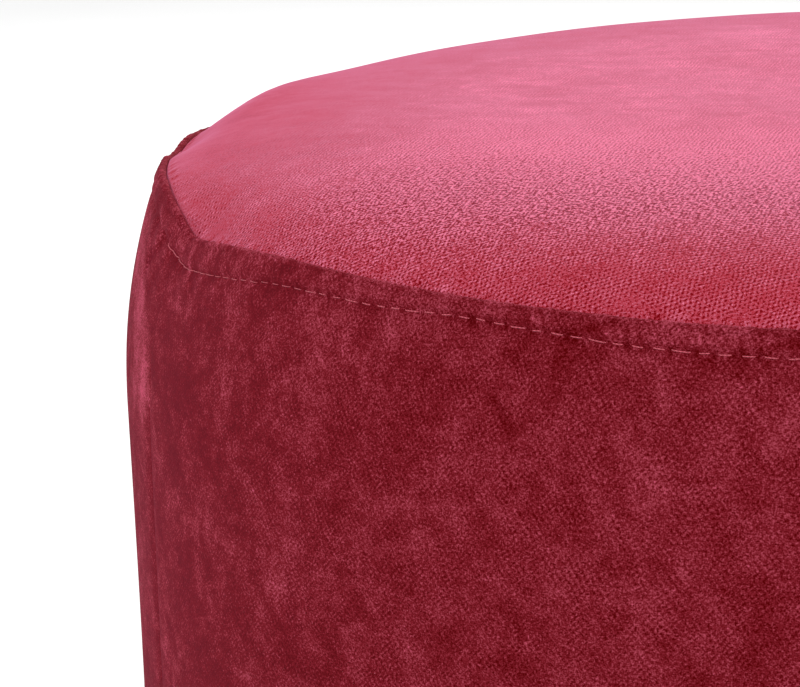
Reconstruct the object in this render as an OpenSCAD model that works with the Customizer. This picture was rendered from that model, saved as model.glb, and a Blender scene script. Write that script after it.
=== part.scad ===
// Round upholstered stool: a padded velvet drum over a wooden frame, on four screw-in wooden legs.
// Millimetres, +Z up. The origin is on the floor, under the middle of the seat. -Y is the front.

/* [Seat] */
// Radius of the seat at its sewn rim
rim_r = 200; // [180:1:225]
// Height of the sewn rim above the floor
rim_z = 411; // [370:1:460]
// Height of the crown of the seat above the seam
crown_h = 12; // [8:1:16]
// How far the padded side swells out past the rim
side_swell = 12; // [8:1:16]
// How far below the rim the side is fully out
shoulder_drop = 62; // [40:1:90]
// Radius of the padded corner round the bottom of the drum
roll_r = 10; // [6:1:13]

/* [Cover] */
// Thickness of the velvet
cloth_t = 1.2; // [0.8:0.1:1.6]
// Width of the seam allowances turned down inside the rim
allowance_w = 9; // [8:0.5:12]
// Distance of the topstitch below the rim
stitch_drop = 5; // [4:0.5:6.5]
// Length of thread that shows in one stitch
stitch_len = 3.3; // [2:0.1:5]
// Gap between one stitch and the next
stitch_gap = 1.3; // [0.6:0.1:3]
// Diameter of the topstitch thread
thread_d = 0.5; // [0.3:0.05:0.8]
// How far the cloth bulges between rim and topstitch
seam_bead = 0.7; // [0.3:0.1:1.2]
// How deep the topstitch pulls the cloth in
stitch_groove = 0.5; // [0.2:0.1:0.8]
// Width of the pulled-in line along the topstitch
groove_w = 1.3; // [0.8:0.1:2]
// How far the seam sits below the top of the rim's fold
seam_sink = 1; // [0.5:0.1:1.5]
// Width of the band's hem stapled under the base board
hem_w = 25; // [20:1:26]
// Direction of the band's upright closing seam, in degrees from +X
closing_azimuth = 208.5; // [181:0.5:260]
// Width of each flap of the closing seam inside the band
flap_w = 9; // [6:0.5:12]
// Width of the groove along the closing seam
closing_gap = 0.7; // [0.4:0.1:1.2]
// Depth of the groove along the closing seam
closing_depth = 0.6; // [0.3:0.05:0.7]

/* [Padding] */
// Thickness of the seat foam
foam_t = 50; // [30:1:70]
// Radius of the seat foam's trimmed upper edge
foam_edge_r = 14; // [10:1:20]
// Thickness of the wadding over the middle of the foam
wadding_t = 12; // [8:1:14]
// Space left between one soft layer and the next
lay_gap = 0.2; // [0.1:0.05:0.3]

/* [Frame] */
// How far the outside of the hardboard wall is inside the rim
wall_inset = 7; // [6:0.5:16]
// Thickness of the plywood boards
board_t = 15; // [12:1:21]
// Thickness of the hardboard wall
wall_t = 3; // [2:0.5:4]
// Opening left at the wall's butt joint
wall_slit = 1; // [0.5:0.5:3]
// Width of a post along the wall
post_w = 38; // [34:1:50]
// Depth of a post towards the middle
post_d = 28; // [22:1:40]
// Radius of the vent hole in the middle of the seat board
vent_r = 12; // [8:1:25]
// Width of the bevel round the vent hole
vent_bevel = 1; // [0.5:0.5:3]
// Clearance round pieces of the frame
frame_gap = 0.1; // [0.05:0.05:0.2]

/* [Legs] */
// Length of the turned wood of a leg
leg_len = 128; // [80:1:160]
// Radius of a leg at its top
leg_top_r = 22; // [18:1:24]
// Radius of a leg at its foot
leg_foot_r = 13; // [11:1:18]
// How far a leg's top stays inside the raised middle of the dust cover
leg_inset = 4; // [1:1:30]
// Width of the chamfer round a leg's top
leg_chamfer = 1.5; // [1:0.5:3]
// Radius of the rounding round a leg's foot
leg_round_r = 2; // [1:0.5:3]
// Thickness of the felt pad
pad_t = 3; // [2:0.5:5]
// How far the felt pad's edge is inside the flat of the foot
pad_inset = 0.5; // [0.5:0.5:2]

/* [Fasteners] */
// Radius of the hanger bolt
bolt_r = 4; // [3:0.5:5]
// Length of the hanger bolt in the leg
bolt_wood_len = 33; // [24:1:40]
// Pitch of the hanger bolt's machine thread
bolt_pitch = 1.25; // [1:0.25:1.5]
// Wall of the tee nut's barrel
tee_wall = 1.1; // [0.7:0.1:1.6]
// Length of the tee nut's barrel
tee_barrel_len = 11; // [8:0.5:11.5]
// Radius of the tee nut's flange
tee_flange_r = 11; // [9:0.5:13]
// Thickness of the tee nut's flange
tee_flange_t = 1.6; // [1.2:0.1:2.5]
// Length of a tee nut's prong
prong_len = 7; // [5:0.5:10]
// Radius of the wood screws
screw_r = 2; // [1.75:0.25:2.5]
// Length of the wood screws
screw_len = 45; // [35:1:60]
// Radius of the wood screws' countersunk heads
screw_head_r = 4; // [3.5:0.25:4.5]
// Width of a staple
staple_w = 10; // [8:0.5:12]
// Length of a staple's legs
staple_leg = 8; // [6:0.5:9]
// Thickness of the staple wire
wire_t = 0.8; // [0.6:0.1:1]
// Clearance round screws, bolts and staples
fastener_gap = 0.05; // [0.03:0.01:0.1]
// Number of staples in the cover's hem
hem_staples_n = 40; // [24:4:48]
// Number of staples round the dust cover
dust_staples_n = 28; // [20:4:36]
// Number of staples round each edge of the wall
wall_staples_n = 16; // [12:4:24]
// Number of staples down each side of the wall's joint
joint_staples_n = 4; // [2:1:5]

/* [Dust cover] */
// Thickness of the dust cover's cloth
dust_t = 0.5; // [0.3:0.1:0.8]
// How far the dust cover's edge is inside the base board's
dust_inset = 3; // [2:0.5:4]
// Width over which the dust cover steps down to the hem
dust_step_w = 5; // [3:0.5:6]

/* [Hidden] */
$fn = 96;

// Shape of the swelling side and of the crown, and how finely their outlines are drawn.
swell_power = 2.2;
crown_power = 10;
seam_steps = 6;
shoulder_steps = 12;
crown_steps = 28;
roll_steps = 8;

// Overrun of every cut past the face that it opens.
overrun = roll_r / 5;

// Heights, from the floor up.
leg_top_z = pad_t + leg_len;
base_z = leg_top_z + dust_t;
base_top_z = base_z + board_t;
hem_z = base_z - cloth_t;
seam_z = rim_z - seam_sink;
crown_z = seam_z + crown_h;
foam_top_z = crown_z - cloth_t - wadding_t - 2 * lay_gap;
seat_top_z = foam_top_z - foam_t;
seat_board_z = seat_top_z - board_t;
side_end_drop = rim_z - hem_z - roll_r;
flap_end_drop = side_end_drop - overrun;

// Radii, from the outside in.
side_full_r = rim_r + side_swell;
wall_out_r = rim_r - wall_inset;
wall_in_r = wall_out_r - wall_t;
lining_r = norm([wall_out_r + fastener_gap + wire_t, staple_w / 2]) + lay_gap;
lining_gap = lining_r - wall_out_r;
board_r = wall_in_r - frame_gap;
hem_r = board_r - hem_w;
hem_staple_r = (hem_r + board_r) / 2;
dust_r = board_r - dust_inset;
dust_staple_r = dust_r - 5 * wire_t;
dust_step_r = hem_r - dust_step_w;
leg_ring_r = dust_step_r - leg_inset - leg_top_r;
pad_r = leg_foot_r - leg_round_r - pad_inset;
tee_barrel_r = bolt_r + fastener_gap + tee_wall;

// Posts stand with their outer corners just inside the wall.
post_out_x = sqrt(pow(board_r, 2) - pow(post_w / 2, 2)) - frame_gap;
post_mid_x = post_out_x - post_d / 2;
post_screw_x = post_out_x - post_d * 3 / 4;
post_screw_y = post_w / 5;
post_azimuths = [0, 90, 180, 270];
joint_azimuth = 90;
joint_staple_y = post_w / 4;

// Legs stand between the posts.
leg_azimuths = [45, 135, 225, 315];

// Thread proportions.
thread_depth_share = 0.15;
screw_core_share = 0.7;
screw_thread_pitch = screw_r * 1.2;
screw_head_h = screw_head_r - screw_r;
screw_tip_h = 2 * screw_r;
screw_thread_start = screw_len / 3;
prong_w = tee_flange_r / 4;
prong_t = tee_flange_t * 3 / 4;

velvet = [0.55, 0.10, 0.17];
velvet_light = [0.66, 0.20, 0.29];
thread_pink = [0.80, 0.42, 0.50];
foam_cream = [0.93, 0.89, 0.74];
foam_grey = [0.80, 0.80, 0.78];
wadding_white = [0.95, 0.95, 0.94];
plywood = [0.80, 0.66, 0.46];
hardboard = [0.45, 0.32, 0.21];
pine = [0.86, 0.71, 0.47];
beech = [0.77, 0.56, 0.37];
felt_brown = [0.33, 0.25, 0.20];
zinc = [0.72, 0.73, 0.75];
dust_black = [0.08, 0.08, 0.09];

// Outline of the cover, as a radius at each depth below the rim.
function swell(drop) = side_swell * (1 - pow(1 - min(1, drop / shoulder_drop), swell_power));
function bead(drop) = seam_bead * sin(180 * min(1, drop / stitch_drop));
function groove(drop) = stitch_groove * exp(-pow((drop - stitch_drop) / groove_w, 2));
function side_r(drop) = rim_r + swell(drop) + bead(drop) - groove(drop);

// Depths below the rim at which the outline is drawn, with the topstitch on one of them.
function seam_drops() = concat(
    [for (i = [0 : seam_steps - 1]) cloth_t + (stitch_drop - cloth_t) * i / seam_steps],
    [for (i = [0 : seam_steps]) stitch_drop + (allowance_w - stitch_drop) * i / seam_steps]);
function shoulder_drops(end = side_end_drop) = concat(
    [for (i = [1 : shoulder_steps]) allowance_w + (shoulder_drop - allowance_w) * i / shoulder_steps],
    [end]);

// Points down the side at a distance in from the outside of the cover.
function side_points(drops, inset) = [for (d = drops) [side_r(d) - inset, rim_z - d]];
function roll_points(inset) = [
    for (i = [1 : roll_steps])
        [side_full_r - roll_r + (roll_r - inset) * cos(90 * i / roll_steps),
         hem_z + roll_r - (roll_r - inset) * sin(90 * i / roll_steps)]];
function reversed(points) = [for (i = [len(points) - 1 : -1 : 0]) points[i]];

// Crown of the seat: nearly flat, and rolled off towards the seam.
crown_edge_r = side_r(cloth_t) - 2 * cloth_t - lay_gap;
function crown_share(i) = sin(90 * i / crown_steps);
function crown_at(r) = seam_z + crown_h * (1 - pow(r / crown_edge_r, crown_power));
function crown_points(inset) = [
    for (i = [0 : crown_steps])
        let (r = (crown_edge_r - inset) * crown_share(i)) [r, crown_at(r) - inset]];

// Trimmed upper edge of the seat foam, grown outwards by a gap, and its radius at a height.
foam_arc_r = wall_out_r - foam_edge_r;
foam_arc_z = foam_top_z - foam_edge_r;
function foam_edge_points(gap) = [
    for (i = [0 : roll_steps])
        [foam_arc_r + (foam_edge_r + gap) * cos(90 * i / roll_steps),
         foam_arc_z + (foam_edge_r + gap) * sin(90 * i / roll_steps)]];
function foam_r_at(z, gap) =
    foam_arc_r + sqrt(pow(foam_edge_r + gap, 2) - pow(max(0, z - foam_arc_z), 2));

// Places something at each leg.
module at_legs(azimuths = leg_azimuths) {
    for (a = azimuths)
        rotate([0, 0, a])
            translate([leg_ring_r, 0, 0])
                children();
}

// Turns an outline into the part of a ring that lies within a width across +X.
module sector(width) {
    sweep = width / rim_r * 180 / PI;
    rotate([0, 0, -sweep / 2])
        rotate_extrude(angle = sweep)
            children();
}

// A staple whose crown lies under z = 0, along y, with its legs pointing up.
module staple(gap = 0) {
    side = wire_t + 2 * gap;
    translate([-side / 2, -staple_w / 2 - gap, -side])
        cube([side, staple_w + 2 * gap, side]);
    for (s = [-1, 1])
        translate([-side / 2, s * (staple_w - wire_t) / 2 - side / 2, -side])
            cube([side, side, side + staple_leg + gap]);
}

module staple_ring(count, r, z, gap) {
    for (i = [0 : count - 1])
        rotate([0, 0, (i + 0.5) * 360 / count])
            translate([r, 0, z])
                staple(gap);
}

module hem_staple_set(gap = 0) {
    staple_ring(hem_staples_n, hem_staple_r, hem_z, gap);
}

module dust_staple_set(gap = 0) {
    staple_ring(dust_staples_n, dust_staple_r, hem_z - wire_t - dust_t, gap);
}

// A staple driven through the wall towards the middle, at a height.
module wall_staple(azimuth, z, gap) {
    rotate([0, 0, azimuth])
        translate([wall_out_r + fastener_gap, 0, z])
            rotate([0, -90, 0])
                staple(gap);
}

module wall_edge_staples(z, gap) {
    for (i = [0 : wall_staples_n - 1])
        wall_staple((i + 0.5) * 360 / wall_staples_n, z, gap);
}

// The two columns of staples that hold the wall's joint to the back post.
module joint_staple_set(gap) {
    turn = joint_staple_y / wall_out_r * 180 / PI;
    rise = (seat_board_z - base_top_z) / joint_staples_n;
    for (side = [-1, 1])
        for (i = [0 : joint_staples_n - 1])
            wall_staple(joint_azimuth + side * turn, base_top_z + (i + 0.5) * rise, gap);
}

// A wood screw with its head's face at z = 0 and its point up.
module wood_screw() {
    core_r = screw_r * screw_core_share;
    turns = floor((screw_len - screw_tip_h - screw_thread_start) / screw_thread_pitch);
    rotate_extrude()
        polygon(concat(
            [[0, 0], [screw_head_r, 0], [screw_r, screw_head_h], [screw_r, screw_thread_start]],
            [for (i = [0 : turns - 1])
                for (half = [0, 1])
                    [half == 0 ? core_r : screw_r,
                     screw_thread_start + (i + 0.25 + half / 2) * screw_thread_pitch]],
            [[core_r, screw_len - screw_tip_h], [0, screw_len]]));
}

module screw_hole() {
    rotate_extrude()
        polygon([
            [0, -overrun],
            [screw_head_r + fastener_gap, -overrun],
            [screw_head_r + fastener_gap, 0],
            [screw_r + fastener_gap, screw_head_h],
            [screw_r + fastener_gap, screw_len + fastener_gap],
            [0, screw_len + fastener_gap]]);
}

// Two screws up through the base board into each post, or two down through the seat board.
module at_base_screws() {
    for (a = post_azimuths)
        for (side = [-1, 1])
            rotate([0, 0, a])
                translate([post_screw_x, side * post_screw_y, base_z])
                    children();
}

module at_seat_screws() {
    for (a = post_azimuths)
        for (side = [-1, 1])
            rotate([0, 0, a])
                translate([post_screw_x, side * post_screw_y, seat_top_z])
                    rotate([180, 0, 0])
                        children();
}

module cover_top() {
    flange = [for (d = seam_drops()) if (d > 2 * cloth_t) d];
    color(velvet_light)
        rotate_extrude()
            polygon(concat(
                crown_points(0),
                side_points(flange, 2 * cloth_t + lay_gap),
                reversed(side_points(flange, 3 * cloth_t + lay_gap)),
                reversed(crown_points(cloth_t))));
}

// The band of cloth with its closing seam on +X: a groove outside and two flaps inside.
module closed_band() {
    fold_r = side_r(cloth_t) - cloth_t;
    fold = [
        for (i = [roll_steps : -1 : 1])
            [fold_r + cloth_t * cos(180 * i / roll_steps),
             rim_z - cloth_t + cloth_t * sin(180 * i / roll_steps)]];
    drops = concat(seam_drops(), shoulder_drops());
    flap_drops = shoulder_drops(flap_end_drop);
    flap_out = (closing_depth + cloth_t) / 2;
    difference() {
        union() {
            rotate_extrude()
                polygon(concat(
                    fold,
                    side_points(drops, 0),
                    roll_points(0),
                    [[hem_r, hem_z], [hem_r, base_z]],
                    reversed(roll_points(cloth_t)),
                    reversed(side_points(concat([allowance_w], shoulder_drops()), cloth_t)),
                    reversed(side_points([for (d = seam_drops()) if (d > cloth_t) d], 2 * cloth_t))));
            sector(2 * flap_w)
                polygon(concat(
                    side_points(flap_drops, flap_out),
                    reversed(side_points(flap_drops, 2 * cloth_t))));
        }
        sector(closing_gap)
            polygon(concat(
                side_points(flap_drops, -overrun),
                reversed(side_points(flap_drops, closing_depth))));
    }
}

module cover_band() {
    color(velvet)
        difference() {
            rotate([0, 0, closing_azimuth])
                closed_band();
            hem_staple_set(fastener_gap);
            dust_staple_set(fastener_gap);
        }
}

// The topstitch: one short length of thread for each stitch, lying in the groove under the rim.
module topstitch() {
    thread_ring_r = side_r(stitch_drop) + thread_d * 0.6;
    count = floor(2 * PI * thread_ring_r / (stitch_len + stitch_gap));
    color(thread_pink)
        for (i = [0 : count - 1])
            rotate([0, 0, 360 * i / count])
                translate([thread_ring_r, 0, rim_z - stitch_drop])
                    rotate([90, 0, 0])
                        cylinder(d = thread_d, h = stitch_len, center = true, $fn = 24);
}

module seat_wadding() {
    inset = 3 * cloth_t + 2 * lay_gap;
    skirt = [for (d = seam_drops()) if (d > inset) d];
    skirt_z = rim_z - allowance_w;
    under = [for (p = foam_edge_points(lay_gap)) if (p[1] > skirt_z) p];
    color(wadding_white)
        rotate_extrude()
            polygon(concat(
                crown_points(cloth_t + lay_gap),
                side_points(skirt, inset),
                [[foam_r_at(skirt_z, lay_gap), skirt_z]],
                under,
                [[0, foam_top_z + lay_gap]]));
}

module seat_foam() {
    color(foam_cream)
        rotate_extrude()
            polygon(concat(
                [[0, seat_top_z], [wall_out_r, seat_top_z]],
                foam_edge_points(0),
                [[0, foam_top_z]]));
}

module side_foam() {
    top_z = rim_z - allowance_w - lay_gap;
    inset = cloth_t + lay_gap;
    outside = concat([allowance_w + lay_gap], shoulder_drops());
    inside = [for (p = foam_edge_points(lining_gap)) if (p[1] < top_z) p];
    recess = concat([allowance_w - overrun], shoulder_drops(flap_end_drop + lay_gap));
    color(foam_grey)
        rotate([0, 0, closing_azimuth])
            difference() {
                rotate_extrude()
                    polygon(concat(
                        side_points(outside, inset),
                        roll_points(inset),
                        [[lining_r, base_z + lay_gap]],
                        inside,
                        [[foam_r_at(top_z, lining_gap), top_z]]));
                sector(2 * (flap_w + lay_gap))
                    polygon(concat(
                        side_points(recess, -overrun),
                        reversed(side_points(recess, 2 * cloth_t + lay_gap))));
            }
}

// A round plywood board, with the wall stapled round its edge.
module board(z) {
    difference() {
        translate([0, 0, z])
            cylinder(r = board_r, h = board_t);
        wall_edge_staples(z + board_t / 2, fastener_gap);
    }
}

module seat_board() {
    color(plywood)
        difference() {
            board(seat_board_z);
            translate([0, 0, seat_board_z - overrun])
                cylinder(r = vent_r, h = board_t + 2 * overrun);
            translate([0, 0, seat_top_z - vent_bevel])
                cylinder(r1 = vent_r, r2 = vent_r + vent_bevel + overrun, h = vent_bevel + overrun);
            at_seat_screws()
                screw_hole();
        }
}

module seat_board_screws() {
    color(zinc)
        at_seat_screws()
            wood_screw();
}

module wall_board() {
    slit_sweep = wall_slit / wall_out_r * 180 / PI;
    color(hardboard)
        difference() {
            rotate([0, 0, joint_azimuth + slit_sweep / 2])
                rotate_extrude(angle = 360 - slit_sweep)
                    polygon([
                        [wall_in_r, base_z + lay_gap],
                        [wall_out_r, base_z + lay_gap],
                        [wall_out_r, seat_top_z],
                        [wall_in_r, seat_top_z]]);
            wall_edge_staples(seat_board_z + board_t / 2, fastener_gap);
            wall_edge_staples(base_z + board_t / 2, fastener_gap);
            joint_staple_set(fastener_gap);
        }
}

module wall_staples() {
    color(zinc) {
        wall_edge_staples(seat_board_z + board_t / 2, 0);
        wall_edge_staples(base_z + board_t / 2, 0);
        joint_staple_set(0);
    }
}

module post(azimuth) {
    color(pine)
        difference() {
            rotate([0, 0, azimuth])
                translate([post_mid_x - post_d / 2, -post_w / 2, base_top_z])
                    cube([post_d, post_w, seat_board_z - base_top_z]);
            at_base_screws()
                screw_hole();
            at_seat_screws()
                screw_hole();
            joint_staple_set(fastener_gap);
        }
}

// A tee nut with its flange on z = 0, its barrel hanging down, and a round hole for the bolt.
module tee_nut(gap = 0) {
    difference() {
        union() {
            cylinder(r = tee_flange_r + gap, h = tee_flange_t + gap);
            translate([0, 0, -tee_barrel_len - gap])
                cylinder(r = tee_barrel_r + gap, h = tee_barrel_len + gap + tee_flange_t / 2);
            for (a = [0 : 90 : 270])
                rotate([0, 0, a])
                    translate([tee_flange_r - prong_t - gap, -prong_w / 2 - gap, -prong_len - gap])
                        cube([prong_t + 2 * gap, prong_w + 2 * gap, prong_len + gap + tee_flange_t / 2]);
        }
        if (gap == 0)
            translate([0, 0, -tee_barrel_len - overrun])
                cylinder(r = bolt_r + fastener_gap, h = tee_barrel_len + tee_flange_t + 2 * overrun);
    }
}

module base_board() {
    color(plywood)
        difference() {
            board(base_z);
            at_base_screws()
                screw_hole();
            at_legs() {
                translate([0, 0, base_z - overrun])
                    cylinder(r = tee_barrel_r + fastener_gap, h = board_t + 2 * overrun);
                translate([0, 0, base_top_z])
                    tee_nut(fastener_gap);
            }
            hem_staple_set(fastener_gap);
            dust_staple_set(fastener_gap);
        }
}

module base_board_screws() {
    color(zinc)
        at_base_screws()
            wood_screw();
}

module tee_nuts() {
    color(zinc)
        at_legs()
            translate([0, 0, base_top_z])
                tee_nut();
}

// A hanger bolt: machine thread up into the tee nut, wood thread down into the leg.
module hanger_bolt() {
    top_z = base_top_z + tee_flange_t;
    tip_z = leg_top_z - bolt_wood_len;
    wood_pitch = bolt_r;
    tip_h = 2 * bolt_r;
    collar_z = leg_top_z - wood_pitch;
    machine_turns = floor((top_z - base_z) / bolt_pitch) - 1;
    wood_turns = floor((collar_z - tip_z - tip_h) / wood_pitch);
    groove_r = bolt_r * (1 - thread_depth_share);
    rotate_extrude()
        polygon(concat(
            [[0, tip_z], [bolt_r * screw_core_share, tip_z + tip_h]],
            [for (i = [0 : wood_turns - 1])
                for (half = [0, 1])
                    [half == 0 ? bolt_r : bolt_r * screw_core_share,
                     tip_z + tip_h + (i + 0.25 + half / 2) * wood_pitch]],
            [[bolt_r, collar_z], [bolt_r, base_z]],
            [for (i = [0 : machine_turns - 1])
                for (half = [0, 1])
                    [half == 0 ? groove_r : bolt_r,
                     base_z + (i + 0.5 + half / 2) * bolt_pitch]],
            [[groove_r, top_z], [0, top_z]]));
}

module hanger_bolts() {
    color(zinc)
        at_legs()
            hanger_bolt();
}

// A turned, tapered leg with the pilot hole for its bolt.
module leg(azimuth) {
    foot = [
        for (i = [0 : roll_steps])
            [leg_foot_r - leg_round_r + leg_round_r * sin(90 * i / roll_steps),
             pad_t + leg_round_r - leg_round_r * cos(90 * i / roll_steps)]];
    color(beech)
        at_legs([azimuth])
            difference() {
                rotate_extrude()
                    polygon(concat(
                        [[0, pad_t]],
                        foot,
                        [[leg_top_r, leg_top_z - leg_chamfer],
                         [leg_top_r - leg_chamfer, leg_top_z],
                         [0, leg_top_z]]));
                translate([0, 0, leg_top_z - bolt_wood_len - fastener_gap])
                    cylinder(r = bolt_r + fastener_gap, h = bolt_wood_len + fastener_gap + overrun);
            }
}

module felt_pads() {
    color(felt_brown)
        at_legs()
            cylinder(r = pad_r, h = pad_t);
}

module hem_staples() {
    color(zinc)
        hem_staple_set();
}

module dust_cover() {
    step_out_r = hem_r - dust_t;
    low_z = hem_z - wire_t;
    color(dust_black)
        difference() {
            rotate_extrude()
                polygon([
                    [0, base_z],
                    [dust_step_r, base_z],
                    [step_out_r, low_z],
                    [dust_r, low_z],
                    [dust_r, low_z - dust_t],
                    [step_out_r, low_z - dust_t],
                    [dust_step_r - dust_t, base_z - dust_t],
                    [0, base_z - dust_t]]);
            at_legs()
                translate([0, 0, base_z - dust_t - overrun])
                    cylinder(r = bolt_r + dust_t, h = dust_t + 2 * overrun);
            dust_staple_set(fastener_gap);
        }
}

module dust_cover_staples() {
    color(zinc)
        dust_staple_set();
}

cover_top();
cover_band();
topstitch();
seat_wadding();
seat_foam();
side_foam();
seat_board();
seat_board_screws();
wall_board();
wall_staples();
post(0);  // post_right
post(90);  // post_back
post(180);  // post_left
post(270);  // post_front
base_board();
base_board_screws();
tee_nuts();
hanger_bolts();
leg(45);  // leg_back_right
leg(135);  // leg_back_left
leg(225);  // leg_front_left
leg(315);  // leg_front_right
felt_pads();
hem_staples();
dust_cover();
dust_cover_staples();
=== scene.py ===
# %% [markdown]
# # A round velvet stool
# The real thing is a drum: a wooden frame inside foam, with a velvet cover sewn from a round top panel and
# a straight side band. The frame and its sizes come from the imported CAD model. This script gives the model
# its looks: cloth with a weave and a seam, thread, foam, wood and metal. Everything is in metres.

import bpy
import numpy as np
from mathutils import Matrix, Vector
from mathutils.geometry import delaunay_2d_cdt


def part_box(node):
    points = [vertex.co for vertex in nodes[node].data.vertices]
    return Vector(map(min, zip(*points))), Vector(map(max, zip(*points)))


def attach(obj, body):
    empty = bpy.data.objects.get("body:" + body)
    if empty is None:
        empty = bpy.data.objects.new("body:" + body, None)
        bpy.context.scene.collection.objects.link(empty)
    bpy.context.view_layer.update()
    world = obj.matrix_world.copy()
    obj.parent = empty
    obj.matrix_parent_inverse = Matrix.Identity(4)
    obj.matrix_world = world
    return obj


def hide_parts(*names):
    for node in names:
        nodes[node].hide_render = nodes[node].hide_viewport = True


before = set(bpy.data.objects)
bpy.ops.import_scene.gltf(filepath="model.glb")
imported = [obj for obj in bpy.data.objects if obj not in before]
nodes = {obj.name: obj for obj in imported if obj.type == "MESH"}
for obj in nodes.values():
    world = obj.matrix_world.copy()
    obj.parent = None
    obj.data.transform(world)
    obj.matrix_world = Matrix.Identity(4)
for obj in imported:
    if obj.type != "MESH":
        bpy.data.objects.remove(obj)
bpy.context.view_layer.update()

print("nodes in the frame:", len(nodes))

# %% [markdown]
# ## Sizes
# The cover's outline is a formula, so the script repeats the formula's driving sizes under the CAD source's
# names. Whatever the frame can tell, such as how high the rim stands, is read from the frame's boxes.

# %% Sizes shared with the frame
MM = 0.001
rim_r = 200 * MM
rim_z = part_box("cover_band")[1][2]
hem_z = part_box("cover_band")[0][2]
crown_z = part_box("cover_top")[1][2]
foam_top_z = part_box("seat_foam")[1][2]
seat_top_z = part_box("seat_foam")[0][2]
wall_out_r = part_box("wall_board")[1][0]
base_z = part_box("base_board")[0][2]
dust_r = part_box("dust_cover")[1][0]
pad_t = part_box("felt_pads")[1][2]

# The cloth's thickness, the gap between two layers, and the outline of the side.
cloth_t = 1.2 * MM
lay_gap = 0.2 * MM
side_swell = 12 * MM
shoulder_drop = 62 * MM
roll_r = 10 * MM
side_end_drop = rim_z - hem_z - roll_r

# Seams, stitches and the band's closing seam with its two flaps inside.
allowance_w = 9 * MM
stitch_drop = 5 * MM
seam_bead = 0.7 * MM
stitch_groove = 0.5 * MM
groove_w = 1.3 * MM
seam_sink = 1 * MM
closing_azimuth = np.radians(208.5)
flap_w = 9 * MM

# The foam's rounded edge, the frame's boards and the staples.
foam_edge_r = 14 * MM
wall_t = 3 * MM
frame_gap = 0.1 * MM
hem_w = 25 * MM
wire_t = 0.8 * MM
staple_w = 10 * MM
fastener_gap = 0.05 * MM
board_r = wall_out_r - (wall_t + frame_gap)
hem_r = board_r - hem_w
print("rim at", round(rim_z, 4), "hem at", round(hem_z, 4), "crown at", round(crown_z, 4))

# %% [markdown]
# ## Camera
# The photograph is a close-up of the stool's upper left part, taken from a little above the seat with a
# moderate telephoto lens. A camera can be turned by eye until its picture agrees, but here the curve of the
# rim was enough to work out where it stood, so it is given as a place, a direction of view and a small roll.

# %% Camera at the photograph's angle
camera_place = Vector((0.0, -0.7362, 0.5541))
camera_forward = Vector((-0.1826, 0.9481, -0.2602)).normalized()
camera_roll = np.radians(-1.777)
camera_lens_mm = 125.85

camera_right = camera_forward.cross(Vector((0, 0, 1))).normalized()
camera_up = camera_right.cross(camera_forward)
turned_right = camera_right * np.cos(camera_roll) + camera_up * np.sin(camera_roll)
turned_up = camera_up * np.cos(camera_roll) - camera_right * np.sin(camera_roll)

camera_data = bpy.data.cameras.new("photo_camera")
camera_data.lens = camera_lens_mm
camera_data.sensor_width = 36
camera_data.clip_start = 0.05
camera = bpy.data.objects.new("photo_camera", camera_data)
turn = Matrix((turned_right, turned_up, -camera_forward)).transposed()
camera.matrix_world = Matrix.Translation(camera_place) @ turn.to_4x4()
bpy.context.scene.collection.objects.link(camera)
bpy.context.scene.camera = camera
print("camera", round((camera_place - Vector((0, 0, rim_z))).length, 3), "m from the middle of the rim")

# %% [markdown]
# ## Light
# The photograph has a white studio around the stool. Many lamps could light it, but two lights are enough: a
# white sky gives the even fill, and a large soft panel behind the stool brings up the pile of the seat, most
# of all where the seat is seen at a flat angle.

# %% Studio
scene = bpy.context.scene
scene.view_settings.view_transform = "Standard"

sky = bpy.data.worlds.new("white_studio")
sky.use_nodes = True
sky_light = sky.node_tree.nodes["Background"]
sky_light.inputs["Color"].default_value = (1.0, 1.0, 1.0, 1.0)
sky_light.inputs["Strength"].default_value = 1.0
scene.world = sky


def soft_panel(name, place, target, size, power):
    """A square area light of the given size at a place, turned to face a target."""
    data = bpy.data.lights.new(name, "AREA")
    data.size = size
    data.energy = power
    lamp = bpy.data.objects.new(name, data)
    lamp.location = place
    lamp.rotation_euler = (Vector(target) - Vector(place)).to_track_quat("-Z", "Y").to_euler()
    scene.collection.objects.link(lamp)
    return lamp


soft_panel("panel_behind", place=(0.4, 2.4, 1.5), target=(0, 0, 0.4), size=1.8, power=34)

# %% [markdown]
# ## Shader maths in plain Python
# A material is a graph of nodes, and writing each Math node by hand hides the idea. This small class wraps
# one output socket, so that `1 - mask` or `wave * depth` adds the right node by itself. Every other kind of
# node comes from the one method `node`, which the short methods after it call with their settings filled in.


# %% Socket wrapper
def maths(operation, swapped=False):
    """A method that adds a Math node of an operation. A reflected operator has its two values swapped."""
    def method(wire, *others):
        values = (*others, wire) if swapped else (wire, *others)
        return Sheet(wire.tree).node("ShaderNodeMath", {"operation": operation}, *values)
    return method


class Wire:
    """One output socket of a node tree, with arithmetic that adds Math nodes."""

    def __init__(self, tree, socket):
        self.tree = tree
        self.socket = socket

    __add__, __radd__ = maths("ADD"), maths("ADD", swapped=True)
    __sub__, __rsub__ = maths("SUBTRACT"), maths("SUBTRACT", swapped=True)
    __mul__, __rmul__ = maths("MULTIPLY"), maths("MULTIPLY", swapped=True)
    __truediv__, __rtruediv__ = maths("DIVIDE"), maths("DIVIDE", swapped=True)
    sine = maths("SINE")
    fraction = maths("FRACT")
    size = maths("ABSOLUTE")
    least = maths("MINIMUM")
    most = maths("MAXIMUM")

    def clamped(self):
        """The value, kept between 0 and 1."""
        return self.most(0.0).least(1.0)

    def ramp(self, low, high):
        """0 below low, 1 above high, and an even climb between them. low may be above high."""
        return ((self - low) / (high - low)).clamped()


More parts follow.
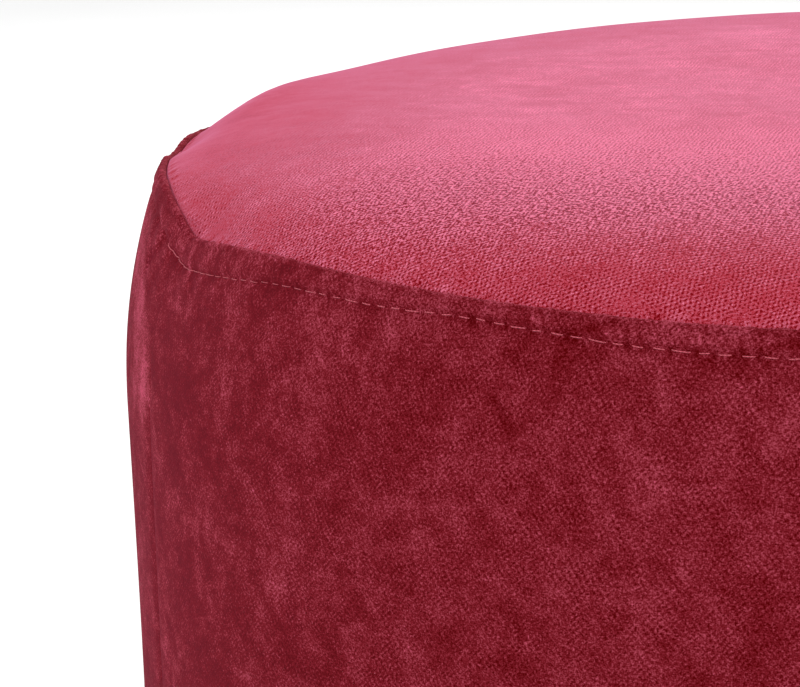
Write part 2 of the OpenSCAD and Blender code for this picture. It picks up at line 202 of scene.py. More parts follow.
# %% Node tree wrapper
class Sheet:
    """A material's node tree, to which any node can be added in one call."""

    def __init__(self, tree, material=None):
        self.tree = tree
        self.material = material

    def feed(self, socket, value):
        """Links a wire to a socket, or sets the socket to a plain value."""
        if isinstance(value, Wire):
            self.tree.links.new(value.socket, socket)
        else:
            socket.default_value = value

    def node(self, kind, settings=None, *values, out=None, **named):
        """Adds a node of a kind, makes its settings first, and feeds its sockets by order or by identifier.
        out is the identifier of the output to give back, or "all" for a list. Otherwise it is the first."""
        made = self.tree.nodes.new(kind)
        for key, value in (settings or {}).items():
            setattr(made, key, value)
        inputs = {socket.identifier: socket for socket in made.inputs}
        for socket, value in zip(made.inputs, values):
            self.feed(socket, value)
        for identifier, value in named.items():
            self.feed(inputs[identifier], value)
        outputs = {socket.identifier: Wire(self.tree, socket) for socket in made.outputs}
        if out == "all":
            return list(outputs.values())
        return outputs[out] if out else next(iter(outputs.values()))

    def place(self):
        """Object coordinates, in metres."""
        return self.node("ShaderNodeTexCoord", out="Object")

    def cloth(self):
        """The piece's own UV map, in metres of cloth."""
        return self.node("ShaderNodeUVMap", {"uv_map": "cloth"})

    def attribute(self, name):
        """A value that the mesh carries on its points, and 0 where it carries none."""
        return self.node("ShaderNodeAttribute", {"attribute_name": name}, out="Fac")

    def combine(self, x, y, z=0.0):
        return self.node("ShaderNodeCombineXYZ", None, x, y, z)

    def split(self, place):
        return self.node("ShaderNodeSeparateXYZ", None, place, out="all")

    def noise(self, place, scale, detail=2.0, roughness=0.5, distortion=0.0):
        """Smooth noise round 0.5, with about scale waves to a metre, and finer ones by detail."""
        return self.node("ShaderNodeTexNoise", None, Vector=place, Scale=scale, Detail=detail,
                         Roughness=roughness, Distortion=distortion)

    def cells(self, place, scale):
        """Distance to the nearest of scattered points, of which there are about scale to a metre."""
        return self.node("ShaderNodeTexVoronoi", None, Vector=place, Scale=scale)

    def mix(self, share, first, second):
        """A colour between first and second, by a share from 0 to 1."""
        return self.node("ShaderNodeMix", {"data_type": "RGBA"}, out="Result_Color",
                         Factor_Float=share, A_Color=first, B_Color=second)

    def bump(self, height, depth):
        """A normal for a height from 0 to 1 that stands for a depth in metres."""
        return self.node("ShaderNodeBump", None, Height=height, Distance=depth)

    def finish(self, colour, roughness, normal=None, **fixed):
        """Feeds the Principled node what varies, sets its fixed sockets, and gives back the material."""
        inputs = self.tree.nodes["Principled BSDF"].inputs
        for socket, value in (("Base Color", colour), ("Roughness", roughness), ("Normal", normal)):
            if value is not None:
                self.feed(inputs[socket], value)
        for socket, value in fixed.items():
            inputs[socket.replace("_", " ")].default_value = value
        return self.material


def start_material(name):
    """A new material's tree, wrapped, on which nodes are added until its method finish is called."""
    material = bpy.data.materials.new(name)
    material.use_nodes = True
    return Sheet(material.node_tree, material)


def srgb(red, green, blue):
    """A colour given as it looks on a screen, 0 to 255, turned into the linear values that nodes use."""
    value = np.array([red, green, blue]) / 255
    linear = np.where(value <= 0.04045, value / 12.92, ((value + 0.055) / 1.055) ** 2.4)
    return (*linear.tolist(), 1.0)


print("a screen grey of 128 is", round(srgb(128, 128, 128)[0], 3), "in the nodes")

# %% [markdown]
# ## Velvet
# The cloth is a flat-woven velvet: about a millimetre from one tuft to the next, with a short pile that was
# crushed in patches, so it shows lighter and darker clouds. Two waves that cross each other make the lattice
# of tufts: where both crest there is a light tuft, where both dip there is a dark gap. A slow noise bends the
# rows, as real rows of tufts bend. The pile's glow at flat angles is the shader's sheen, together with
# painted sheen in the colour where the mesh asks for it. The pattern lies in the piece's own UV map, which is
# in metres of cloth, so it bends round the drum as cloth does.
#
# How the pile lies differs from place to place, so the mesh says it in values on its points: how light the
# pile is, how strong its clouds are, and how open it lies. The value of lightness also carries painted light:
# painted shade in seams, creases and along the stitches, and painted sheen where the cloth is seen at a flat
# angle. Open pile shows the weave and coarse knots. Pile that was brushed flat hides the weave and shows soft
# marks of the brush.


# %% Velvet finish
def velvet(name, tones, waves_per_mm, weights, strengths, relief_depth, tint, sheen):
    """Woven pile. tones are its dark, middle, light and lightest colours; the lightest is reached where the
    pile is brushed and where painted sheen lightens it. Each of the two waves_per_mm holds the number of
    waves along the cloth and up it. weights are those of the light tufts, of the dark gaps and of the fine
    grain of the pile, and strengths those of the weave and of the crushed clouds. sheen is the weight and the
    roughness of the glow, tint its colour, and relief_depth the depth of the weave. The mesh may carry three
    attributes: the lightness, which is added to the tone and holds the nap together with painted shade and
    painted sheen; crush, how much stronger its clouds are and, as a painted sheen, how far its dark tone is
    lifted towards the lightest; and open, which is above 0 where the weave is stronger and knotted, and below
    0, down to -1, where it is weaker and brush marks show."""
    sheet = start_material(name)
    dark, middle, light, brushed_and_sheen = tones
    tuft_weight, gap_weight, grain_weight = weights
    weave_strength, cloud_strength = strengths
    cloth = sheet.cloth()
    u, v, _ = sheet.split(cloth)

    # The rows wander: two slow bends and a jitter, all of about a millimetre.
    bend_u = sheet.noise(cloth, 260.0, 2.0) * 1.1 * MM + sheet.noise(cloth, 60.0, 1.0) * 2.0 * MM
    bend_v = sheet.noise(sheet.combine(v, u), 240.0, 2.0) * 1.0 * MM
    bend_u = bend_u + sheet.noise(cloth, 620.0, 1.0) * 0.8 * MM
    bend_v = bend_v + sheet.noise(sheet.combine(v, u), 640.0, 1.0) * 0.8 * MM
    u, v = u + bend_u, v + bend_v

    # The lattice is stronger in some patches, and its mean stays near 0, whatever the weights are.
    crests = [(u * (2000 * np.pi * along) + v * (2000 * np.pi * up)).sine() for along, up in waves_per_mm]
    first, second = crests[0], crests[1] * 0.8
    tuft = (first * second * 0.9 + first + second).ramp(0.5, 2.3)
    gap = (first * second * 0.9 - first - second).ramp(0.5, 2.3)
    patchy = sheet.noise(cloth, 130.0, 1.0).ramp(0.34, 0.66) * 0.7 + 0.3
    grain = sheet.noise(sheet.combine(u, v), 1650.0, 1.0, 0.7) * 0.6 + sheet.noise(cloth, 2900.0, 0.0) * 0.4
    lattice = tuft * tuft_weight - gap * gap_weight + (gap_weight - tuft_weight) * 0.11
    opened = sheet.attribute("open")
    knots = (sheet.noise(cloth, 850.0, 1.0, 0.6) - 0.5) * opened.most(0.0)
    weave = (lattice * patchy + (grain - 0.5) * grain_weight) * (opened + 1.0) + knots * 4.0

    # The crushed pile has clouds, patches, specks and dragged marks, from large to small.
    clouds = sheet.noise(cloth, 34.0, 2.0, 0.55, 0.4).ramp(0.34, 0.68)
    patches = sheet.noise(cloth, 120.0, 3.0, 0.62, 0.6).ramp(0.38, 0.70)
    specks = sheet.noise(cloth, 420.0, 2.0, 0.6, 0.4).ramp(0.32, 0.70)
    drags = sheet.noise(sheet.combine(u, v * 0.4), 190.0, 2.0, 0.6).ramp(0.34, 0.68)
    crush = clouds * 0.26 + patches * 0.35 + specks * 0.29 + drags * 0.10 - 0.5
    crush = crush * (sheet.attribute("crush") + 1.0)
    marks = (sheet.noise(sheet.combine(u * 0.4, v), 120.0, 3.0, 0.65) - 0.5) * opened.least(0.0)

    # The tone runs from dark at 0 over middle and light to the lightest colour at 1.3, which brushed pile and
    # painted sheen reach.
    tone = 0.5 + weave * weave_strength + crush * cloud_strength + marks * 0.7 + sheet.attribute("nap_and_painted_light")
    # Where the clouds are strong, the dark tone is lifted towards the lightest one: a painted sheen.
    sheen_lifted_dark = sheet.mix(sheet.attribute("crush") * 0.14, dark, brushed_and_sheen)
    colour = sheet.mix(tone.ramp(0.0, 0.5), sheen_lifted_dark, middle)
    colour = sheet.mix(tone.ramp(0.5, 1.0), colour, light)
    colour = sheet.mix(tone.ramp(1.0, 1.3), colour, brushed_and_sheen)
    relief = sheet.bump((weave * 0.5 + 0.5).clamped(), relief_depth)
    return sheet.finish(
        colour, 0.92 - tone.clamped() * 0.1, relief, Sheen_Weight=sheen[0], Sheen_Roughness=sheen[1],
        Sheen_Tint=tint, Specular_IOR_Level=0.03)


# The seat and the band are the same velvet, but the seat's tones are painted lighter and pinker than the
# band's: painted light for the light from above and the sheen on the top.
velvet_top = velvet(
    "velvet_top", tones=(srgb(130, 0, 11), srgb(187, 56, 73), srgb(194, 90, 113), srgb(239, 120, 150)),
    waves_per_mm=((0.99, -0.12), (0.29, -0.74)), weights=(0.40, 1.30, 2.7), strengths=(1.20, 0.36),
    relief_depth=0.12 * MM, tint=srgb(229, 168, 218), sheen=(0.5, 0.26))
velvet_band = velvet(
    "velvet_band", tones=(srgb(90, 0, 2), srgb(126, 26, 38), srgb(172, 67, 84), srgb(204, 82, 112)),
    waves_per_mm=((0.75, -0.73), (0.64, 0.42)), weights=(0.32, 0.38, 3.2), strengths=(0.80, 0.74),
    relief_depth=0.16 * MM, tint=srgb(255, 105, 165), sheen=(0.10, 0.30))
print("velvets", velvet_top.name, velvet_band.name)

# %% [markdown]
# ## Thread, foam, felt and dust cloth
# These finishes are simple: one pattern at the real scale each. The thread is twisted, so a slanted stripe
# runs round it. Foam is full of small open cells. Wadding, felt and non-woven cloth are tangles of fibre. A
# picture of each could be laid on instead, but a formula has no seams and no end.


# %% Soft finishes
def thread_finish():
    """Two-ply thread: a sine of the length plus the way round gives the slanted plies."""
    sheet = start_material("topstitch_thread")
    along, round_it, _ = sheet.split(sheet.cloth())
    twist_length = 0.9 * MM
    full_turn = 6.283
    ply = (along / twist_length * full_turn + round_it * (2 * full_turn)).sine() * 0.5 + 0.5
    colour = sheet.mix(ply, srgb(190, 64, 82), srgb(228, 100, 118))
    return sheet.finish(colour, 0.62, sheet.bump(ply, 0.06 * MM), Sheen_Weight=0.08)


def foam_finish(name, dark, light, cell_mm):
    """Open cells: the distance to the nearest cell's middle gives dark pores with light struts between."""
    sheet = start_material(name)
    place = sheet.place()
    strut = sheet.cells(place, 1000 / cell_mm).ramp(0.15, 0.75)
    cloud = sheet.noise(place, 25.0, 3.0)
    colour = sheet.mix((strut * 0.6 + cloud * 0.4).clamped(), dark, light)
    return sheet.finish(colour, 0.95, sheet.bump(strut, 0.3 * MM))


def fibre_finish(name, dark, light, scale, depth):
    """Tangled fibres: the larger of two noises, one drawn out along X and one along Y."""
    sheet = start_material(name)
    x, y, z = sheet.split(sheet.place())
    first = sheet.noise(sheet.combine(x * 0.2, y, z), scale, 3.0, 0.7, 1.5)
    second = sheet.noise(sheet.combine(x, y * 0.2, z), scale * 1.3, 3.0, 0.7, 1.5)
    tangle = first.most(second).ramp(0.40, 0.75)
    colour = sheet.mix(tangle, dark, light)
    return sheet.finish(colour, 0.96, sheet.bump(tangle, depth), Sheen_Weight=0.25)


thread_pink = thread_finish()
foam_cream = foam_finish("seat_foam", srgb(205, 190, 140), srgb(242, 232, 196), 1.1)
foam_grey = foam_finish("side_foam", srgb(160, 160, 158), srgb(214, 214, 210), 0.9)
wadding_white = fibre_finish("wadding", srgb(214, 214, 212), srgb(250, 250, 248), 420.0, 0.5 * MM)
felt_brown = fibre_finish("felt", srgb(58, 42, 32), srgb(104, 80, 62), 900.0, 0.25 * MM)
dust_black = fibre_finish("dust_cloth", srgb(14, 14, 16), srgb(44, 44, 48), 700.0, 0.10 * MM)
print("soft finishes", thread_pink.name, foam_cream.name, foam_grey.name, wadding_white.name,
      felt_brown.name, dust_black.name)

# %% [markdown]
# ## Wood and metal
# The legs are turned from beech with the grain along them: noise drawn out along the leg for the bands, and
# short dark flecks, which beech shows. Plywood shows its glued layers on its edge, pine has wide soft bands,
# and hardboard is brown pressed fibre. The staples and screws are zinc-plated steel. The CAD model already
# has these pieces in their true shape, so they keep their meshes and only get a finish on Object coordinates.


# %% Wood and steel finishes
def leg_wood():
    """Beech along Z: bands from noise drawn out along Z, and flecks from cells drawn out less."""
    sheet = start_material("beech")
    x, y, z = sheet.split(sheet.place())
    bands = sheet.noise(sheet.combine(x, y, z * 0.07), 130.0, 4.0, 0.6, 1.2).ramp(0.30, 0.72)
    streaks = sheet.noise(sheet.combine(x, y, z * 0.03), 900.0, 2.0, 0.6)
    fleck = sheet.cells(sheet.combine(x * 1.6, y * 1.6, z * 0.32), 620.0).ramp(0.22, 0.08)
    colour = sheet.mix(bands * 0.75 + streaks * 0.25, srgb(176, 122, 78), srgb(218, 172, 124))
    colour = sheet.mix(fleck * 0.45, colour, srgb(128, 80, 48))
    relief = sheet.bump(streaks * 0.7 + (1 - fleck) * 0.3, 0.05 * MM)
    return sheet.finish(colour, 0.36 + streaks * 0.16, relief, Coat_Weight=0.35, Coat_Roughness=0.25)


def board_wood(name, dark, light, layer_mm, grain_scale):
    """Sheet wood: grain drawn out along X, and layers stacked in Z where layer_mm isn't 0."""
    sheet = start_material(name)
    x, y, z = sheet.split(sheet.place())
    grain = sheet.noise(sheet.combine(x * 0.08, y, z), grain_scale, 4.0, 0.65, 0.8).ramp(0.30, 0.72)
    tone = grain
    if layer_mm:
        layer = ((z / (layer_mm * MM)).fraction() - 0.5).size().ramp(0.10, 0.30)
        tone = grain * 0.75 + layer * 0.25
    colour = sheet.mix(tone, dark, light)
    return sheet.finish(colour, 0.68 - tone * 0.12, sheet.bump(grain, 0.08 * MM))


def post_wood():
    """Pine along Z: the sine of a noise drawn out along Z gives bands of early and late wood."""
    sheet = start_material("pine")
    x, y, z = sheet.split(sheet.place())
    growth = sheet.noise(sheet.combine(x, y, z * 0.04), 90.0, 2.0, 0.5, 0.6) * 9.0
    ring = growth.sine() * 0.5 + 0.5
    streaks = sheet.noise(sheet.combine(x, y, z * 0.05), 700.0, 2.0)
    colour = sheet.mix(ring * 0.6 + streaks * 0.4, srgb(232, 200, 142), srgb(198, 148, 88))
    return sheet.finish(colour, 0.66 + streaks * 0.12, sheet.bump(streaks, 0.06 * MM))


def steel_finish():
    """Zinc plating: bright metal whose colour drifts with a noise, and its roughness with small spangles."""
    sheet = start_material("steel")
    place = sheet.place()
    drift = sheet.noise(place, 300.0, 3.0)
    spangle = sheet.cells(place, 900.0)
    colour = sheet.mix(drift, srgb(170, 172, 178), srgb(212, 214, 216))
    return sheet.finish(colour, 0.28 + spangle * 0.2, sheet.bump(drift, 0.02 * MM), Metallic=1.0)


beech = leg_wood()
plywood = board_wood("plywood", srgb(184, 148, 100), srgb(222, 192, 146), 1.5, 160.0)
hardboard = board_wood("hardboard", srgb(84, 56, 36), srgb(134, 96, 62), 0, 420.0)
pine = post_wood()
steel = steel_finish()

finished_nodes = {
    beech: ["leg_back_right", "leg_back_left", "leg_front_left", "leg_front_right"],
    plywood: ["seat_board", "base_board"],
    hardboard: ["wall_board"],
    pine: ["post_right", "post_back", "post_left", "post_front"],
    steel: ["seat_board_screws", "base_board_screws", "wall_staples", "tee_nuts", "hanger_bolts",
            "hem_staples", "dust_cover_staples"],
}
for finish, names in finished_nodes.items():
    for name in names:
        nodes[name].data.materials.clear()
        nodes[name].data.materials.append(finish)
print("CAD nodes kept:", sum(len(names) for names in finished_nodes.values()))

# %% [markdown]
# ## How the rim wanders
# A sewn rim is never a perfect circle. Where the band's upright closing seam meets it, many layers of cloth
# pile up and drag the rim down, and the sewing machine's line drifts by a millimetre or two. A modifier could
# bend each piece, but here these drifts are functions of the azimuth, the angle round the drum, and one
# function moves every soft layer near the rim together, so that none cuts another.


# %% Wander of the rim and of the stitch line
def bell(distance, width, power=2):
    """exp(-(distance / width) ** power): 1 in the middle and about a third at the width."""
    return np.exp(-((distance / width) ** power))


def hump(azimuth, middle, before, after, power=2):
    """A bell round an azimuth in degrees, with its own width on each side."""
    away = (np.degrees(azimuth) - middle + 180) % 360 - 180
    return bell(np.abs(away), np.where(away < 0, before, after), power)


def waves(azimuth, counts, seed):
    """A sum of sines with whole numbers of waves round the drum and seeded phases, scaled to about 1."""
    phases = np.random.default_rng(seed).uniform(0, 2 * np.pi, len(counts))
    total = sum(np.sin(count * azimuth + phase) for count, phase in zip(counts, phases))
    return total / np.sqrt(len(counts))


def rim_drift(azimuth):
    """Height that the rim is moved by: the drag of the closing seam, two smaller kinks and a slow wave."""
    seam = -5.2 * MM * hump(azimuth, 210.3, 4.8, 8.7, 1.5)
    kinks = -2.0 * MM * hump(azimuth, 185.0, 4.0, 3.5) + 0.6 * MM * hump(azimuth, 199.0, 3.0, 2.6)
    kinks += -2.8 * MM * hump(azimuth, 170.0, 28.0, 9.0) - 0.5 * MM * hump(azimuth, 258.0, 12.0, 10.0)
    slow = 0.3 * MM * waves(azimuth, (3, 5, 8, 13), 4) + 0.2 * MM
    return seam + kinks + slow


def stitch_depth(azimuth):
    """Depth of the stitch line below the rim: deeper beside the closing seam, and drifting elsewhere."""
    deeper = 2.0 * MM * hump(azimuth, 209.0, 14.0, 14.5, 4.0) + 0.35 * MM * hump(azimuth, 207.4, 1.4, 1.2)
    nearer = -1.3 * MM * hump(azimuth, 242.0, 5.5, 6.5) - 0.8 * MM * hump(azimuth, 203.0, 2.0, 1.6)
    return stitch_drop + 0.4 * MM + deeper + nearer + 0.12 * MM * waves(azimuth, (7, 11, 19), 9)


def azimuth_of(points):
    """The angle round the drum at which points lie."""
    return np.arctan2(points[..., 1], points[..., 0])


def settle(points):
    """Moves points up or down with the rim, fading out towards the middle and towards the floor."""
    points = np.asarray(points, float).copy()
    inward = np.clip(rim_r - np.hypot(points[..., 0], points[..., 1]) - 3 * MM, 0, None)
    below = np.clip(rim_z - points[..., 2] - 8 * MM, 0, None)
    points[..., 2] += rim_drift(azimuth_of(points)) * (bell(inward, 7 * MM) * bell(below, 22 * MM))
    return points


front = np.radians(np.arange(180, 361, 30))
print("rim drift, mm:", np.round(rim_drift(front) / MM, 2))

# %% [markdown]
# ## The cover's outline
# Seen from the side, the cover has a sewn edge, a padded shoulder, an upright wall and a rolled bottom
# corner. A curve drawn by hand would do, but a formula lets every layer take its radius from one place. It
# is the same as in the CAD source, with the small bulge between rim and stitches, and the groove that the
# stitches pull in, moved to where the stitch line really runs.


# %% Outline formulas
def swell(drop):
    """side_swell times 1 - (1 - drop / shoulder_drop) ** 2.2: steep at the rim, upright at full swell."""
    return side_swell * (1 - (1 - np.clip(drop / shoulder_drop, 0, 1)) ** 2.2)


def side_radius(drop, stitch_at=stitch_drop):
    """Outside radius at a depth below the rim: swell, half a sine above the stitches, a pulled-in groove."""
    bead = seam_bead * np.sin(np.pi * np.clip(drop / stitch_at, 0, 1))
    groove = stitch_groove * bell(drop - stitch_at, groove_w)
    return rim_r + swell(drop) + bead - groove


crown_edge_r = side_radius(cloth_t) - 2 * cloth_t - lay_gap
seam_z = rim_z - seam_sink
crown_h = crown_z - seam_z
side_full_r = rim_r + side_swell


def crown_height(radius):
    """seam_z plus crown_h times 1 - (radius / edge) ** 10: nearly flat, then rolled off to the seam."""
    return seam_z + crown_h * (1 - np.clip(radius / crown_edge_r, 0, 1) ** 10)


print("seam circle", round(crown_edge_r, 4), "full radius", round(side_full_r, 4))

# %% [markdown]
# ## Grids and lathes
# Most of the soft pieces are an outline carried round the drum, as on a lathe. Blender's Screw modifier turns
# an outline too, but a grid worked out with numpy can differ at each azimuth. The columns of the grid are
# spaced evenly, and closer together at the closing seam, where a narrow groove has to show. One helper joins
# rows of points into faces, also where a coarse row meets a row three times as fine.


# %% Columns
even_columns = 640
columns = np.linspace(0, 2 * np.pi, even_columns, endpoint=False) + np.radians(0.2)
close_columns = closing_azimuth + np.linspace(-6, 6, 49) * MM / rim_r
columns = columns[np.abs(columns - closing_azimuth) > 7 * MM / rim_r]
columns = np.sort(np.concatenate([columns, close_columns]))
fine_columns = np.interp(
    np.arange(3 * len(columns)) / 3, np.arange(len(columns) + 1), np.append(columns, columns[0] + 2 * np.pi))
print("columns", len(columns), "fine columns", len(fine_columns))


# %% Mesh from arrays
def build_mesh(name, points, faces, cloth=None, attributes=None, material=None):
    """A smooth mesh object from an array of points, lists of face arrays, UVs and point attributes."""
    mesh = bpy.data.meshes.new(name)
    sizes = np.concatenate([np.full(len(group), group.shape[1]) for group in faces])
    corners = np.concatenate([group.ravel() for group in faces]).astype(np.int32)
    mesh.vertices.add(len(points))
    mesh.vertices.foreach_set("co", np.asarray(points, np.float32).ravel())
    mesh.loops.add(len(corners))
    mesh.loops.foreach_set("vertex_index", corners)
    mesh.polygons.add(len(sizes))
    mesh.polygons.foreach_set("loop_start", np.concatenate([[0], np.cumsum(sizes)[:-1]]).astype(np.int32))
    mesh.polygons.foreach_set("use_smooth", np.ones(len(sizes), bool))
    mesh.update(calc_edges=True)
    if cloth is not None:
        layer = mesh.uv_layers.new(name="cloth")
        layer.data.foreach_set("uv", np.asarray(cloth, np.float32)[corners].ravel())
    for key, values in (attributes or {}).items():
        mesh.attributes.new(key, "FLOAT", "POINT").data.foreach_set("value", np.asarray(values, np.float32))
    mesh.validate()
    if material:
        mesh.materials.append(material)
    made = bpy.data.objects.new(name, mesh)
    scene.collection.objects.link(made)
    return made


def ring_points(radius, height, azimuth):
    """Points at a radius and a height, by azimuth, as an array of x, y and z."""
    radius, height, azimuth = np.broadcast_arrays(radius, height, azimuth)
    return np.stack([radius * np.cos(azimuth), radius * np.sin(azimuth), height], -1)


print("a point a quarter round:", np.round(ring_points(rim_r, rim_z, np.pi / 2), 4))


# %% Faces between rows
def join_rows(upper, lower):
    """Faces between two closed rows of point numbers, facing outwards where the outline runs from upper to
    lower. A row may have three points for each one of the other."""
    next_up, next_low = np.roll(upper, -1), np.roll(lower, -1)
    if len(upper) == len(lower):
        return [np.stack([upper, lower, next_low, next_up], 1)]
    fine = max(upper, lower, key=len)
    first, second, third, next_first = fine[0::3], fine[1::3], fine[2::3], np.roll(fine[0::3], -1)
    if len(upper) > len(lower):
        fans = ((first, lower, second), (second, lower, next_low, third), (third, next_low, next_first))
    else:
        fans = ((upper, first, second), (upper, second, third, next_up), (next_up, third, next_first))
    return [np.stack(fan, 1) for fan in fans]


def lathe_faces(row_sizes, poles):
    """Faces between rows that hold so many points each. With poles, two more points close the ends, and
    otherwise the last row is joined to the first."""
    starts = np.cumsum([0] + list(row_sizes))
    rows = [np.arange(start, end) for start, end in zip(starts[:-1], starts[1:])]
    faces = [face for pair in zip(rows[:-1], rows[1:]) for face in join_rows(*pair)]
    if not poles:
        return faces + join_rows(rows[-1], rows[0])
    first, last = rows[0], rows[-1]
    top, bottom = np.full(len(first), starts[-1]), np.full(len(last), starts[-1] + 1)
    faces += [np.stack([top, first, np.roll(first, -1)], 1)]
    return faces + [np.stack([last, bottom, np.roll(last, -1)], 1)]


def joined(rows, poles):
    """All the rows in one array, and with poles the means of the first row and of the last after them."""
    together = np.concatenate(rows)
    ends = np.stack([rows[0].mean(0), rows[-1].mean(0)]) if poles else together[:0]
    return np.concatenate([together, ends])


def turned_piece(name, rows, material, cloth_rows=None, attributes=None, poles=False):
    """A closed mesh from rows of points that go once round the drum. The rows follow an outline: from pole
    to pole with poles=True, and otherwise round a ring's section back to the first row. attributes holds
    rows of values by name."""
    points = settle(joined(rows, poles))
    faces = lathe_faces([len(row) for row in rows], poles)
    cloth = None if cloth_rows is None else joined(cloth_rows, poles)
    values = {key: joined(value_rows, poles) for key, value_rows in (attributes or {}).items()}
    made = build_mesh(name, points, faces, cloth, values, material)
    print(name, "faces", len(made.data.polygons))
    return made


print("a ball of 3 rows of 8 points has", sum(map(len, lathe_faces([8, 8, 8], poles=True))), "faces")

# %% [markdown]
# ## Small drifts of the cloth
# Between rim and stitches the cloth bulges and is caught at every stitch hole, so it puckers. Round the
# whole rim it is gathered a little, most of all beside the closing seam, where creases run down. A cloth
# simulation would make folds of its own, but not these ones, so each is a formula: how far the cloth stands
# out, by azimuth and by depth below the rim.


# %% Puckers and gathers
stitch_count = 275
hole_pull = np.random.default_rng(21).uniform(0.5, 1.6, stitch_count)
gather_counts = (29, 43, 71, 97, 131)


def puckers(azimuth, drop):
    """Dips of a Gaussian shape at the holes between the stitches, each with its own seeded depth."""
    phase = azimuth * stitch_count / (2 * np.pi)
    along = (phase % 1 - 0.5) * 2 * np.pi * rim_r / stitch_count
    pull = hole_pull[np.floor(phase).astype(int) % stitch_count]
    across = drop - stitch_depth(azimuth)
    return -0.30 * MM * pull * np.exp(-((along / (0.65 * MM)) ** 2) - (across / (1.0 * MM)) ** 2)


def gathers(azimuth, drop):
    """Waves round the rim, strongest 6 mm down and gone by 26 mm, and twice as deep at the closing seam."""
    depth = np.clip(drop / (6 * MM), 0, 1) * bell(np.clip(drop - 6 * MM, 0, None), 11 * MM)
    near_seam = 1 + 1.2 * hump(azimuth, 203, 9, 4)
    return 0.17 * MM * depth * near_seam * waves(azimuth, gather_counts, 5)


# %% Creases, the closing seam and slow waves
# Each crease has its upper and its lower end, in degrees round and millimetres down, a depth and a width.
creases = (
    ((206.9, 4.8), (202.7, 17.3), -0.55, 0.9),
    ((205.4, 7.3), (202.3, 19.1), -0.50, 0.8),
    ((207.6, 9.0), (204.6, 22.0), -0.35, 1.0),
    ((213.0, 9.5), (216.5, 17.0), -0.30, 1.2),
    ((245.5, 20.4), (246.3, 24.2), -0.65, 0.8),
    ((250.2, 12.4), (250.9, 16.0), -0.22, 0.8),
)


def creasing(azimuth, drop):
    """Short valleys, each along a line from one place to another, given in degrees and millimetres."""
    total = np.zeros(np.broadcast(azimuth, drop).shape)
    for (start_az, start_drop), (end_az, end_drop), depth, width in creases:
        x = (azimuth - np.radians(start_az)) * rim_r / MM
        y = drop / MM - start_drop
        run_x, run_y = np.radians(end_az - start_az) * rim_r / MM, end_drop - start_drop
        length = np.hypot(run_x, run_y)
        along = (x * run_x + y * run_y) / length
        across = (y * run_x - x * run_y) / length
        past = np.clip(np.abs(along - length / 2) - length / 2, 0, None)
        total += depth * MM * np.exp(-((across / width) ** 2) - (past / (2 * width)) ** 2)
    return total


def from_closing_seam(azimuth):
    """Distance from the closing seam along the rim's circle, below 0 on its left as the camera sees it."""
    return ((azimuth - closing_azimuth + np.pi) % (2 * np.pi) - np.pi) * rim_r


def closing_seam(azimuth, drop):
    """The upright seam: a narrow valley in a wide shallow one, from the shoulder down to the bottom roll."""
    away = from_closing_seam(azimuth)
    grown = np.clip((drop - 34 * MM) / (20 * MM), 0, 1)
    narrow = -0.60 * MM * bell(away, 0.42 * MM)
    wide = -0.40 * MM * bell(away, 3.2 * MM)
    step = 0.12 * MM * np.tanh(away / (0.5 * MM)) * bell(away, 5 * MM)
    return grown * (narrow + wide + step)


def side_waves(azimuth, drop):
    """Slow waves of the padded side, half a millimetre high, which lean as they go down."""
    grown = np.clip(drop / (40 * MM), 0, 1) * np.clip((side_end_drop - drop) / (30 * MM), 0, 1)
    lean = azimuth + drop * 2.5
    return 0.5 * MM * grown * waves(lean, (4, 7, 11), 12)


def outward(azimuth, drop):
    """All the displacements of the band's outside together."""
    return (puckers(azimuth, drop) + gathers(azimuth, drop) + creasing(azimuth, drop)
            + closing_seam(azimuth, drop) + side_waves(azimuth, drop))


print("deepest pucker", round(float(puckers(fine_columns, stitch_depth(fine_columns)).min() / MM), 2), "mm")

# %% [markdown]
# ## Side band
# The band is one strip of velvet: folded over at the rim, stitched, drawn down over the foam, rolled under
# and stapled as a hem. A flat strip could be given a thickness and bent, but its section is known, so the
# mesh is the outline of that section carried round the drum. These functions give the section's rows.


# %% Rows of the band
def fold_row(azimuth, turn):
    """A row on the half circle over the rim, turn being its angle above the outward direction."""
    middle = side_radius(cloth_t, stitch_depth(azimuth)) - cloth_t
    height = rim_z - cloth_t + cloth_t * np.sin(turn)
    return ring_points(middle + cloth_t * np.cos(turn), height, azimuth)


def side_row(azimuth, drop, inset=0.0, raised=0.0):
    """A row on the side at a depth, set in from the outside and raised by a displacement."""
    radius = side_radius(drop, stitch_depth(azimuth)) - inset + raised
    return ring_points(radius, rim_z - drop, azimuth)


def roll_row(azimuth, turn, inset=0.0):
    """A row on the quarter circle round the bottom, turn being its angle below the outward direction."""
    radius = side_full_r - roll_r + (roll_r - inset) * np.cos(turn)
    return ring_points(radius, hem_z + roll_r - (roll_r - inset) * np.sin(turn), azimuth)


hem_staples = 40
pleat_depth = np.random.default_rng(33).uniform(0.35, 1.0, hem_staples)


def pleats(azimuth):
    """Folds of the hem, flat at the staples and up to 0.6 mm deep midway between them."""
    share = ((1 + np.cos(hem_staples * azimuth)) / 2) ** 1.5
    number = np.round(azimuth * hem_staples / (2 * np.pi)).astype(int) % hem_staples
    return -0.6 * MM * share * pleat_depth[number]


print("deepest pleat", round(float(pleats(columns).min() / MM), 2), "mm")

# %% [markdown]
# ## How the band's pile lies, and its painted light
# Handled velvet is light where its pile was brushed one way and dark where it lies the other way. The band
# also carries painted light: painted shade where the cloth dips into a seam, a crease or a stitch hole and
# along the stitches, a painted shadow right of the closing seam, and a lighter streak left of it, partly
# brushed pile and partly painted sheen where the band is seen at a flat angle. A painted picture could carry
# that, but the shape functions already know where each seam and crease is, so the same rows give a value of
# lightness to every point, which the velvet finish adds to its tone.

# %% Nap and painted light of the band
streak_noise = np.random.default_rng(41).normal(0, 1, (4, len(fine_columns)))
streak_noise = (streak_noise + np.roll(streak_noise, 1, 1)) / np.sqrt(2)
blot_noise = np.random.default_rng(42).normal(0, 1, 220)


